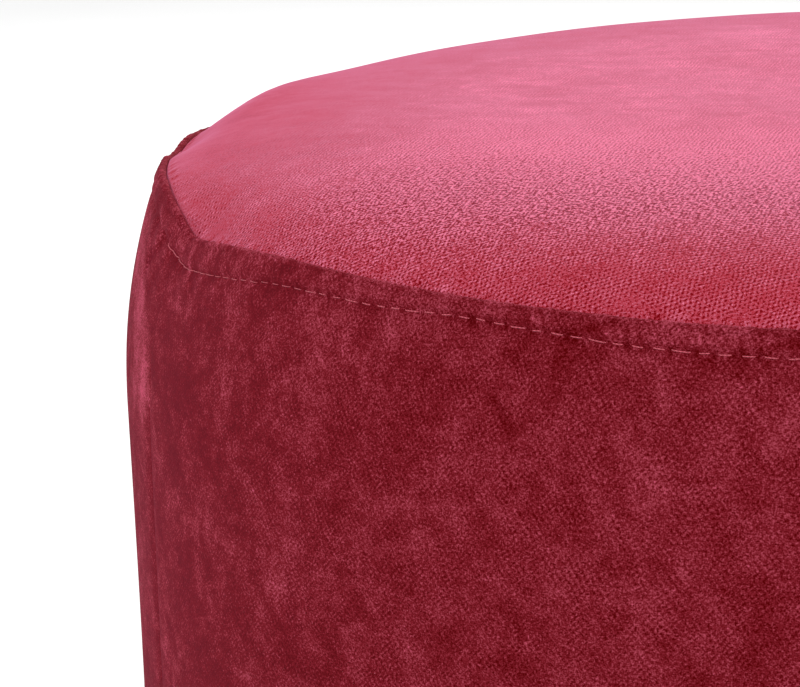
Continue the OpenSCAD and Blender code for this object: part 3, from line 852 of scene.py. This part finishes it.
def strip_streaks(azimuth, drop):
    """Upright light and dark streaks and dark blots of the pile between rim and stitches, seeded: four rows
    of random values half a strip apart, blended down the strip, and gone below the stitches. The strip as a
    whole is a little lighter."""
    down = np.clip(drop / stitch_depth(azimuth), 0, 1.4)
    column = np.interp(azimuth, fine_columns, np.arange(len(fine_columns))).astype(int)
    level = np.clip(down / 0.5, 0, 2.999)
    upper, share = np.floor(level).astype(int), level % 1
    streak = streak_noise[upper, column] * (1 - share) + streak_noise[upper + 1, column] * share
    place = np.arange(len(blot_noise)) * 2 * np.pi / len(blot_noise)
    blot = np.interp(azimuth + 0.015 * drop / MM, place, blot_noise, period=2 * np.pi)
    blot = -0.16 * np.clip(blot, 0, 2) * bell(down - 0.35, 0.4)
    calm = 1 - 0.55 * hump(azimuth, 209, 9, 7)
    return (0.13 * streak * calm + blot + 0.08) * np.clip((1.35 - down) / 0.35, 0, 1)


def nap_and_painted_light_of(azimuth, drop):
    """How much lighter the band is: lighter left of a border that curves into the closing seam, partly
    brushed pile and partly painted sheen, and a painted shadow right of it. Painted shade darkens it where
    the cloth dips into seams, creases and stitch holes, and along the stitches, where the pile is also
    pressed. The strip's streaks and blots are added."""
    drop_mm = drop / MM
    border = 210.4 - 10.3 * bell(np.clip(drop_mm - 12.5, 0, None), 15, 1.25)
    # Lighter left of the border, partly brushed pile and partly painted sheen, and a painted shadow right of
    # it.
    brushed_and_sheen = 0.56 * hump(azimuth, border - 2.6, 4.5, 1.7) - 0.12 * hump(azimuth, border + 4, 3, 7)
    faded = bell(np.clip(drop_mm - 42, 0, None), 13)
    brushed_and_sheen = brushed_and_sheen * np.clip(drop / (38 * MM), 0, 1) ** 0.7 * faded
    brushed_and_sheen = brushed_and_sheen - 0.05 * hump(azimuth, 215, 12, 22)
    # Painted shade: the cloth is darker where it dips in at seams, creases and stitch holes.
    dip_shade = np.clip((outward(azimuth, drop) - side_waves(azimuth, drop)) / MM, -0.5, 0.3)
    # Darker along the stitch line: painted shade, and partly the pile pressed by the thread.
    stitch_shade_and_press = -0.14 * bell(drop - stitch_depth(azimuth), 1.5 * MM)
    return brushed_and_sheen + dip_shade * 0.42 + stitch_shade_and_press + strip_streaks(azimuth, drop)


front_nap_and_light = nap_and_painted_light_of(front, np.full(len(front), 30 * MM))
print("nap 30 mm below the rim:", np.round(front_nap_and_light, 2))

# %% [markdown]
# ## The band's mesh
# The rows run from inside the fold over the rim, down the outside, under the hem and back up the inside of
# the cloth, so the strip is a closed solid of true thickness. The rows from the rim to just below the
# stitches have three times as many points, because the puckers and the frayed pile of the edge are small.
# Inside, where nobody looks, a few rows are enough.


# %% Rows from the rim to the hem
def fray(shape, seed, depth):
    """Seeded noise smoothed once along the rim, for the pile that frays an edge."""
    rough = np.random.default_rng(seed).normal(0, 1, shape)
    return depth * (rough + np.roll(rough, 1, -1) * 0.7 + np.roll(rough, -1, -1) * 0.7) / 1.4


rows, naps_and_painted_light = [], []


def add_row(points, nap_and_painted_light=0.0):
    """Keeps a row and its lightness, nap and painted light together, which is one value or a value for each
    point.
    """
    rows.append(points)
    naps_and_painted_light.append(np.broadcast_to(nap_and_painted_light, len(points)).astype(float))


for turn in np.radians([180, 150, 125]):
    add_row(fold_row(columns, turn))
fine_turns = np.radians([100, 80, 60, 40, 20])
common_fray = fray((1, len(fine_columns)), 7, 0.10 * MM)
edge_fray = common_fray + fray((len(fine_turns), len(fine_columns)), 8, 0.05 * MM)
for turn, frayed in zip(fine_turns, edge_fray):
    row = fold_row(fine_columns, turn)
    row += frayed[:, None] * ring_points(np.cos(turn), np.sin(turn), fine_columns)
    # The fold is painted lighter where it faces up, a painted highlight along the rim, and lighter or darker
    # where its frayed pile stands out or sinks.
    add_row(row, frayed / MM * 0.8 + 0.10 * np.sin(turn) ** 4)
for drop in np.concatenate([np.linspace(1.2, 9.6, 15), [10.8]]) * MM:
    add_row(side_row(fine_columns, drop, 0.0, outward(fine_columns, drop)), nap_and_painted_light_of(fine_columns, drop))
side_drops = np.concatenate([np.linspace(13, 62, 22), np.linspace(72, side_end_drop / MM - 1, 20)]) * MM
for drop in side_drops:
    add_row(side_row(columns, drop, 0.0, outward(columns, drop)), nap_and_painted_light_of(columns, drop))
for turn in np.radians(np.arange(0, 91, 11.25)):
    add_row(roll_row(columns, turn))
roll_end_r = side_full_r - roll_r
for radius in np.linspace(roll_end_r - 3 * MM, hem_r, 5):
    ramp = np.clip((roll_end_r - radius) / (9 * MM), 0, 1)
    add_row(ring_points(radius, hem_z + pleats(columns) * ramp, columns))
print("outside rows", len(rows))

# %% Rows back up the inside, and the band
add_row(ring_points(hem_r, base_z, columns))
for turn in np.radians([90, 60, 30, 0]):
    add_row(roll_row(columns, turn, cloth_t))
away = np.abs(from_closing_seam(columns))
flap = cloth_t * (away < flap_w)
for drop in np.concatenate([np.linspace(side_end_drop / MM - 4, 62, 5), np.linspace(55, 12, 7)]) * MM:
    raised = side_waves(columns, drop)
    add_row(side_row(columns, drop, cloth_t + flap * (drop > 11 * MM), raised))
add_row(side_row(columns, allowance_w, cloth_t))
for drop in np.linspace(9, 2, 4) * MM:
    add_row(side_row(columns, drop, 2 * cloth_t))


def row_lengths(rows):
    """Length of cloth from the first row to each row, measured along the first column."""
    steps = [float(np.linalg.norm(after[0] - before[0])) for before, after in zip(rows[:-1], rows[1:])]
    return np.cumsum([0.0] + steps)


along_rows = [((azimuth_of(row) - closing_azimuth) % (2 * np.pi)) * rim_r for row in rows]
cloth_rows = [np.stack([along, np.full(len(along), -length)], 1)
              for along, length in zip(along_rows, row_lengths(rows))]
# Stronger clouds round 214 degrees, where the finish also lifts the dark tone: a painted sheen where the band
# is seen at a flat angle.
clouds_and_sheen = [0.7 * hump(azimuth_of(row), 214, 26, 18) for row in rows]
velvet_side = turned_piece("velvet_side", rows, velvet_band, cloth_rows, {"nap_and_painted_light": naps_and_painted_light, "crush": clouds_and_sheen})
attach(velvet_side, "root")
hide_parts("cover_band")

# %% [markdown]
# ## Seat panel
# The seat is a disc of velvet, nearly flat in the middle, that rolls off to the seam and turns down inside
# the fold. It waves a little, as cloth over wadding does, and it is gathered finely along the seam. A disc
# pressed down by a cloth simulation would come out much the same, so each row is worked out from the share
# of the seam's radius at which it lies.


# %% Rows of the seat
def seat_waves(x, y):
    """Three slow waves that cross, 0.2 mm high, as wadding gives."""
    crossing = np.sin(x * 41 + y * 17 + 1.0) + np.sin(y * 53 - x * 23 + 2.2) + np.sin(x * 71 + y * 64)
    return 0.2 * MM * crossing / 1.7


edge_noise = fray((1, len(fine_columns)), 51, 1.0)[0]


def ragged(azimuth):
    """Seeded noise of about 1 along the seat's edge, by azimuth."""
    return np.interp(azimuth, fine_columns, edge_noise)


def crown_row(azimuth, share, inset=0.0):
    """A row on the crown at a share of the seam's radius, set in below the outside. It is lifted by slow
    waves, by two stretches of fuller padding at the back left, by gathers and by the ragged edge."""
    edge = side_radius(cloth_t, stitch_depth(azimuth)) - 2 * cloth_t - lay_gap - inset
    row = ring_points(share * edge, crown_height(share * (crown_edge_r - inset)) - inset, azimuth)
    inside = (1 - share) * rim_r
    near_edge = bell(inside, 7 * MM)
    lift = seat_waves(row[:, 0], row[:, 1]) * (1 - share ** 6)
    fuller = bell(inside - 13 * MM, 12 * MM) * (1 - bell(inside, 4 * MM))
    lift += 2.2 * MM * hump(azimuth, 171, 10, 10) * fuller
    lift += 0.5 * MM * hump(azimuth, 188, 30, 18) * near_edge
    smooth = 1 - 0.8 * hump(azimuth, 182, 32, 22)
    lift += 0.16 * MM * near_edge * (1 - share ** 60) * smooth * waves(azimuth, gather_counts, 5)
    lift += 0.18 * MM * ragged(azimuth) * bell(inside - 1.3 * MM, 0.8 * MM) * (inset == 0)
    row[:, 2] += lift
    return row


def columns_at(share):
    """Fine columns within 3 mm of the seam, where the edge is ragged, and plain ones elsewhere."""
    return fine_columns if (1 - share) * rim_r < 3 * MM else columns


print("middle of the seat at", round(float(crown_row(columns, 0.02)[:, 2].mean()), 4))

# %% [markdown]
# ## How the seat's pile lies, and its painted sheen
# Seen at a flat angle, the far part of the seat glows pale and smooth, and the near part is darker and shows
# its open weave. The shader's sheen gives only part of that glow, and the rest is painted sheen: the seat
# carries two values, how light the pile is painted and how open it lies, as smooth steps from the front to
# the back.


# %% Painted sheen and openness of the seat
def rise(value, middle, width):
    """A smooth step from 0 to 1: 1 / (1 + exp(-(value - middle) / width)), the last two in millimetres."""
    return 1 / (1 + np.exp(-(value / MM - middle) / width))


def seat_nap_and_sheen(azimuth, share):
    """Painted sheen: the pile is painted lighter behind y = -118 mm, though less so behind -70 mm and near
    the rim except at the front, and a little lighter at the left edge. In front of y = -160 mm it is darkest,
    and it is a little darker in the last 16 mm before the rim. At the rim a lighter ragged line runs round,
    partly a painted highlight on the rolled edge and partly the frayed pile."""
    y = share * rim_r * np.sin(azimuth)
    near_rim = 1.5 * np.clip(share - 0.6, 0, 0.3) * (1 - hump(azimuth, 270, 36, 36, 6))
    brushed_and_sheen = (0.64 - near_rim) * rise(y, -118, 9) + 0.14 * rise(y, -160, 12) - 0.22 * rise(y, -70, 10) - 0.04
    brushed_and_sheen = brushed_and_sheen - 0.04 * rise(share * rim_r, 184, 4) + 0.08 * hump(azimuth, 203, 16, 12) * share ** 8
    edge = bell((1 - share) * rim_r - 1.5 * MM, 1.1 * MM)
    return brushed_and_sheen + (0.06 + 0.12 * ragged(azimuth)) * edge


def seat_open(azimuth, share):
    """The weave shows most in a band in front of the middle, round y = -122 mm. It is below 0, which hides
    the weave and shows brush marks, behind y = -55 mm and at the crushed left edge."""
    x, y = share * rim_r * np.cos(azimuth), share * rim_r * np.sin(azimuth)
    width = np.where(y < -122 * MM, 34 * MM, 46 * MM)
    front_band = bell(y + 122 * MM, width) * rise(x, -135, 12)
    crushed = 0.45 * hump(azimuth, 200, 60, 32, 4) * share ** 4 + 0.55 * rise(y, -55, 12)
    return 1.7 * front_band - crushed


front_and_middle = seat_open(np.radians(270), np.array([0.6, 0.0]))
print("openness towards the front and in the middle:", np.round(front_and_middle, 2))

# %% [markdown]
# ## The seat's mesh
# The rows go from the middle over the crown to the seam, down the outside of the seam allowance, up its
# inside and back under the crown. On the way out they are spaced by a sine, so they close up at the seam,
# where the shape is finest. The UV map lays the disc flat: each point at its distance along the cloth.

# %% Velvet seat
shares = np.sin(np.linspace(0.02, np.pi / 2, 58))
flange_drops = np.linspace(3.0, allowance_w / MM, 5) * MM
top_rows = [crown_row(columns_at(share), share) for share in shares]
top_rows += [side_row(columns, drop, 2 * cloth_t + lay_gap) for drop in flange_drops]
top_rows += [side_row(columns, drop, 3 * cloth_t + lay_gap) for drop in flange_drops[::-1]]
top_rows += [crown_row(columns, share, cloth_t) for share in shares[::-2]]

# On the outside a point's distance is measured along the cloth, and on the hidden inside it is the radius.
top_lengths = row_lengths(top_rows)
top_lengths += np.hypot(*top_rows[0][0, :2])
on_outside = np.arange(len(top_rows)) < len(shares) + len(flange_drops)
top_lengths = np.where(on_outside, top_lengths, [np.hypot(*row[0, :2]) for row in top_rows])
top_azimuths = [columns_at(share) for share in shares] + [columns] * (len(top_rows) - len(shares))
top_cloth = [length * np.stack([np.cos(azimuth), np.sin(azimuth)], 1)
             for length, azimuth in zip(top_lengths, top_azimuths)]

unseen = [np.zeros(len(columns))] * (len(top_rows) - len(shares))
top_values = {
    "nap_and_painted_light": [seat_nap_and_sheen(columns_at(share), share) for share in shares] + unseen,
    "open": [seat_open(columns_at(share), share) for share in shares] + unseen,
}
velvet_seat = turned_piece("velvet_seat", top_rows, velvet_top, top_cloth, top_values, poles=True)
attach(velvet_seat, "root")
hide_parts("cover_top")

# %% [markdown]
# ## Topstitch
# A lockstitch shows as a row of short dashes of thread. Each one comes up through the cloth, lies on it, and
# goes down again. One curve with a bevel could run all round, but a real row is never even, so each dash gets
# its own length, slant and height from a seeded generator. Beside the closing seam the dashes run into each
# other, and a few are sunk into the pile. All the stitches are one array: stitch by ring by side of a small
# six-sided tube.

# %% Where each stitch lies
thread_r = 0.16 * MM
tube_sides = 6
pitch_angle = 2 * np.pi / stitch_count
chance = np.random.default_rng(17)
centre = (np.arange(stitch_count) + chance.uniform(-0.05, 0.05, stitch_count)) * pitch_angle
half_sweep = pitch_angle * (chance.uniform(0.29, 0.37, stitch_count) + 0.12 * hump(centre, 208, 12, 14))
calm = 1 - 0.9 * hump(centre, 208, 12, 14)
slant = chance.normal(0.0, 0.09, stitch_count) * calm * MM
shift = chance.normal(0.0, 0.06, stitch_count) * calm * MM
run_on = (chance.random(stitch_count) < 0.12) | (hump(centre, 209, 7, 8) > 0.4)
half_sweep = np.where(run_on, pitch_angle * 0.53, half_sweep)
print("stitches", stitch_count, "of which run on", int(run_on.sum()))

# %% Thread along the rim
steps = np.linspace(-1, 1, 9)
at = centre[:, None] + half_sweep[:, None] * steps
depth = stitch_depth(at) + shift[:, None] - slant[:, None] * steps
sunk = 0.5 * MM * hump(at, 199, 7, 6.8, 8)
dip = (thread_r * 0.75 + 0.34 * MM) * (1 - 0.9 * hump(at, 209, 7, 8))
lie = thread_r * 0.75 - dip * np.abs(steps) ** 5 - sunk
surface = side_radius(depth, stitch_depth(at)) + outward(at, depth)
core = ring_points(surface + lie, rim_z - depth, at)
around = np.linspace(0, 2 * np.pi, tube_sides, endpoint=False)
out_ring = ring_points(1.0, 0.0, at)[:, :, None] * np.cos(around)[:, None] * 0.8
up_ring = np.array([0, 0, 1]) * np.sin(around)[:, None]
shown_r = thread_r * (1 - 0.38 * hump(at, 219, 11, 13, 4))
tubes = core[:, :, None] + shown_r[:, :, None, None] * (out_ring + up_ring)

numbers = np.arange(tubes[..., 0].size).reshape(stitch_count, len(steps), tube_sides)
here, there = numbers[:, :-1], numbers[:, 1:]
walls = np.stack([here, np.roll(here, -1, 2), np.roll(there, -1, 2), there], -1).reshape(-1, 4)
caps = [numbers[:, 0, ::-1], numbers[:, -1]]
run_along = np.broadcast_to((at * rim_r)[:, :, None], numbers.shape)
run_round = np.broadcast_to(np.arange(tube_sides) / tube_sides, numbers.shape)
thread_cloth = np.stack([run_along.ravel(), run_round.ravel()], 1)
rim_stitches = build_mesh(
    "rim_stitches", settle(tubes.reshape(-1, 3)), [walls, *caps], thread_cloth, None, thread_pink)
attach(rim_stitches, "root")
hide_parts("topstitch")
print("rim_stitches faces", len(rim_stitches.data.polygons))

# %% [markdown]
# ## Padding
# Under the velvet lie wadding, a foam disc and a foam sleeve. Nobody sees them until the stool is opened, so
# plain copies of the CAD solids would nearly do. But the cover wanders at the rim, so they are turned again
# with the outlines of the CAD source, and settle with the rim as the cover does.


# %% Outline of the foam's edge
def foam_edge(gap, top_z=None):
    """Radii and heights down the rounded upper edge of the seat foam, from its flat top to its side."""
    turn = np.radians(np.linspace(90, 0, 9))
    radius = wall_out_r - foam_edge_r + (foam_edge_r + gap) * np.cos(turn)
    height = foam_top_z - foam_edge_r + (foam_edge_r + gap) * np.sin(turn)
    keep = np.ones(len(turn), bool) if top_z is None else height < top_z
    return list(zip(radius[keep], height[keep]))


def foam_radius(height, gap):
    """Radius of the seat foam's upper edge, grown by a gap, at a height."""
    climb = np.clip(height - (foam_top_z - foam_edge_r), 0, None)
    return wall_out_r - foam_edge_r + np.sqrt((foam_edge_r + gap) ** 2 - climb ** 2)


def plain_rows(pairs):
    """Rows with one radius and one height all round."""
    return [ring_points(radius, height, columns) for radius, height in pairs]


print("foam edge points", len(foam_edge(0.0)))

# %% Wadding and seat foam
under_inset = 3 * cloth_t + 2 * lay_gap
skirt_z = rim_z - allowance_w
wadding_rows = [crown_row(columns, share, cloth_t + lay_gap) for share in shares[::2]]
wadding_rows += [side_row(columns, drop * MM, under_inset) for drop in (4.4, 6.0, 7.5, 9.0)]
wadding_rows += plain_rows([(foam_radius(skirt_z, lay_gap), skirt_z)])
wadding_rows += plain_rows([pair for pair in foam_edge(lay_gap)[::-1] if pair[1] > skirt_z])
wadding_rows += plain_rows([(r * MM, foam_top_z + lay_gap) for r in (150, 110, 70, 35, 6)])
wadding_layer = turned_piece("wadding_layer", wadding_rows, wadding_white, poles=True)

foam_rows = plain_rows([(r * MM, foam_top_z) for r in (6, 40, 80, 120, 155)])
foam_rows += plain_rows(foam_edge(0.0))
foam_rows += plain_rows([(wall_out_r, z) for z in np.linspace(foam_top_z - foam_edge_r, seat_top_z, 5)[1:]])
foam_rows += plain_rows([(r * MM, seat_top_z) for r in (150, 100, 50, 6)])
seat_pad = turned_piece("seat_pad", foam_rows, foam_cream, poles=True)

# %% Foam sleeve
# The sleeve lies outside the wall's staples, whose crowns stand out by the wire and a little clearance.
lining_r = np.hypot(wall_out_r + fastener_gap + wire_t, staple_w / 2) + lay_gap
lining_gap = lining_r - wall_out_r
sleeve_top = rim_z - allowance_w - lay_gap
sleeve_inset = cloth_t + lay_gap
recess = cloth_t * (away < flap_w + lay_gap)
sleeve_drops = [[9.2, 10.5, 12], np.linspace(16, 62, 14), np.linspace(75, side_end_drop / MM, 10)]
inner_heights = np.linspace(base_z + lay_gap, foam_top_z - foam_edge_r, 12)
sleeve_rows = []
for drop in np.concatenate(sleeve_drops) * MM:
    inset = sleeve_inset + recess * (drop > 10 * MM) * (drop < side_end_drop - 2 * MM)
    sleeve_rows.append(side_row(columns, drop, inset, side_waves(columns, drop)))
sleeve_rows += [roll_row(columns, turn, sleeve_inset) for turn in np.radians([22.5, 45, 67.5, 90])]
sleeve_rows += plain_rows([(lining_r, height) for height in inner_heights])
sleeve_rows += plain_rows(foam_edge(lining_gap, sleeve_top)[::-1][1:])
sleeve_rows += plain_rows([(foam_radius(sleeve_top, lining_gap), sleeve_top)])
foam_sleeve = turned_piece("foam_sleeve", sleeve_rows, foam_grey)

for piece, node, slot, fill in (
        (wadding_layer, "seat_wadding", "wadding", 0.8),
        (seat_pad, "seat_foam", "seat_foam", 1.0),
        (foam_sleeve, "side_foam", "side_foam", 1.0)):
    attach(piece, "root")
    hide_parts(node)

# %% [markdown]
# ## Felt feet
# Each leg stands on a disc of felt with a soft edge, so that it doesn't scratch the floor. A cylinder with a
# Bevel modifier would do for one. Here an outline with two quarter circles is turned round each leg's place,
# and the four discs are one mesh, as the four pads are one node of the CAD model.

# %% Felt feet
leg_boxes = [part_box(name) for name in finished_nodes[beech]]
leg_places = [((low + high) / 2)[:2] for low, high in leg_boxes]
pad_r = 10.5 * MM
soft_r = 0.7 * MM
felt_give = 0.15 * MM
pad_sides = 64
flat_r = pad_r - soft_r
edge_turn = np.radians(np.linspace(90, 0, 5))
outline = [(share * flat_r, pad_t - 0.12 * MM * share) for share in (0.1, 0.5, 0.8)]
upper_z = pad_t - felt_give - soft_r
outline += [(flat_r + soft_r * np.cos(turn), upper_z + soft_r * np.sin(turn)) for turn in edge_turn]
outline += [(pad_r + felt_give, pad_t / 2)]
outline += [(flat_r + soft_r * np.cos(turn), soft_r - soft_r * np.sin(turn)) for turn in edge_turn[::-1]]
outline += [(share * flat_r, 0.0) for share in (0.8, 0.5, 0.1)]

ring = np.linspace(0, 2 * np.pi, pad_sides, endpoint=False)
pad_rows = [ring_points(radius, height, ring) for radius, height in outline]
disc = np.concatenate(pad_rows + [[[0, 0, pad_t], [0, 0, 0]]])
disc_faces = lathe_faces([pad_sides] * len(outline), poles=True)
pad_points = [disc + [x, y, 0] for x, y in leg_places]
pad_faces = [faces + number * len(disc) for number in range(len(leg_places)) for faces in disc_faces]
felt_feet = build_mesh("felt_feet", np.concatenate(pad_points), pad_faces, material=felt_brown)
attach(felt_feet, "root")
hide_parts("felt_pads")
print("feet at", [tuple(np.round(place, 4)) for place in leg_places])

# %% [markdown]
# ## Dust cloth
# A thin black cloth closes the stool from below. It is held by staples round its edge and pressed by the
# four legs, so it hangs down a little between them. Grid rows round a centre couldn't leave the holes for
# the legs' bolts, so the sheet is a flat net of triangles, cut along its rim and its holes and then sagged
# by a formula.


# %% Flat net of the dust cloth
def circle(x, y, radius, count):
    """Points round a circle in the plane."""
    turn = np.linspace(0, 2 * np.pi, count, endpoint=False)
    return np.stack([x + radius * np.cos(turn), y + radius * np.sin(turn)], 1)


dust_t = 0.5 * MM
bolt_hole_r = 4.5 * MM

# Points 5 mm apart in rows that are offset by half a step, up to 38 steps from the middle.
grid_step = 5 * MM
grid_reach = 38
edge_gap = 0.6 * grid_step
span = np.arange(-grid_reach, grid_reach + 1) * grid_step
grid_x, grid_y = np.meshgrid(span, span * np.sqrt(0.75))
grid_x = grid_x + (np.arange(len(span)) % 2)[:, None] * grid_step / 2
inside = np.stack([grid_x.ravel(), grid_y.ravel()], 1)
inside = inside[np.hypot(*inside.T) < dust_r - edge_gap]
for x, y in leg_places:
    inside = inside[np.hypot(inside[:, 0] - x, inside[:, 1] - y) > bolt_hole_r + edge_gap]
rims = [circle(0, 0, dust_r, 224)] + [circle(x, y, bolt_hole_r, 24) for x, y in leg_places]
loops, start = [], len(inside)
for rim in rims:
    loop = np.arange(start, start + len(rim))
    loops.append(np.stack([loop, np.roll(loop, -1)], 1))
    start += len(rim)
flat_points = np.concatenate([inside, *rims])
cut = delaunay_2d_cdt([Vector(point) for point in flat_points], np.concatenate(loops).tolist(), [], 0, 1e-7)
flat_points = np.array([tuple(point) for point in cut[0]])
triangles = np.array(cut[2])
for x, y in leg_places:
    middles = flat_points[triangles].mean(1)
    triangles = triangles[np.hypot(middles[:, 0] - x, middles[:, 1] - y) > bolt_hole_r]
print("flat net of", len(triangles), "triangles")

# %% Dust cloth
dust_staples = 28
leg_press_r = 22 * MM
leg_fade_w = 30 * MM


def dust_height(x, y):
    """Height of the cloth's top: against the board under the legs, a step down to the hem outside, a sag of
    2.4 mm between the legs, and small radial waves drawn by the staples."""
    radius, azimuth = np.hypot(x, y), np.arctan2(y, x)
    step = np.clip((radius - (hem_r - 5 * MM)) / (4.5 * MM), 0, 1)
    height = base_z + step * (hem_z - wire_t - base_z)
    free = np.ones_like(x)
    for leg_x, leg_y in leg_places:
        free *= 1 - bell(np.clip(np.hypot(x - leg_x, y - leg_y) - leg_press_r, 0, None), leg_fade_w)
    sag = 2.4 * MM * free * np.clip(1 - (radius / (hem_r - 6 * MM)) ** 2, 0, 1)
    ripple = (1 - np.cos(dust_staples * azimuth + np.pi)) / 2
    pull = 0.22 * MM * ripple * np.clip((radius - 150 * MM) / (25 * MM), 0, 1)
    return height - sag - pull


flat_x, flat_y = flat_points.T
upper = np.stack([flat_x, flat_y, dust_height(flat_x, flat_y)], 1)
lower = upper - [0, 0, dust_t]
count = len(upper)
edges = np.concatenate([triangles[:, [0, 1]], triangles[:, [1, 2]], triangles[:, [2, 0]]])
keys = {tuple(edge) for edge in edges.tolist()}
border = np.array([edge for edge in edges.tolist() if (edge[1], edge[0]) not in keys])
hem_wall = np.stack([border[:, 1], border[:, 0], border[:, 0] + count, border[:, 1] + count], 1)
dust_sheet = build_mesh(
    "dust_sheet", np.concatenate([upper, lower]), [triangles, triangles[:, ::-1] + count, hem_wall],
    material=dust_black)
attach(dust_sheet, "root")
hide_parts("dust_cover")
print("dust cloth triangles", len(triangles) * 2)

# %% [markdown]
# ## What each cloth was cut from
# The seat is a disc 425 mm across: the rim circle, the crown's extra length and the seam allowance. The band
# is a strip as long as the fullest girth with a closing allowance, and as wide as its section is long, from
# the allowance over the rim and down the side to the end of the hem. The dust cloth is a disc as wide as the
# frame's dust cover.

# %% [markdown]
# ## Floor
# The photograph has no floor, but the model should stand on something. A plain pale disc is enough, wide
# enough that its edge is out of every view.

# %% Floor
floor_r = 6.0
floor_sides = 96
floor_sheet = start_material("pale_floor")
floor_tone = floor_sheet.noise(floor_sheet.place(), 3.0, 2.0)
pale_floor = floor_sheet.finish(floor_sheet.mix(floor_tone, srgb(240, 240, 240), srgb(246, 246, 246)), 0.8)
ring = np.linspace(0, 2 * np.pi, floor_sides, endpoint=False)
floor_face = [np.arange(floor_sides)[None]]
floor = build_mesh("floor", ring_points(floor_r, 0.0, ring), floor_face, material=pale_floor)
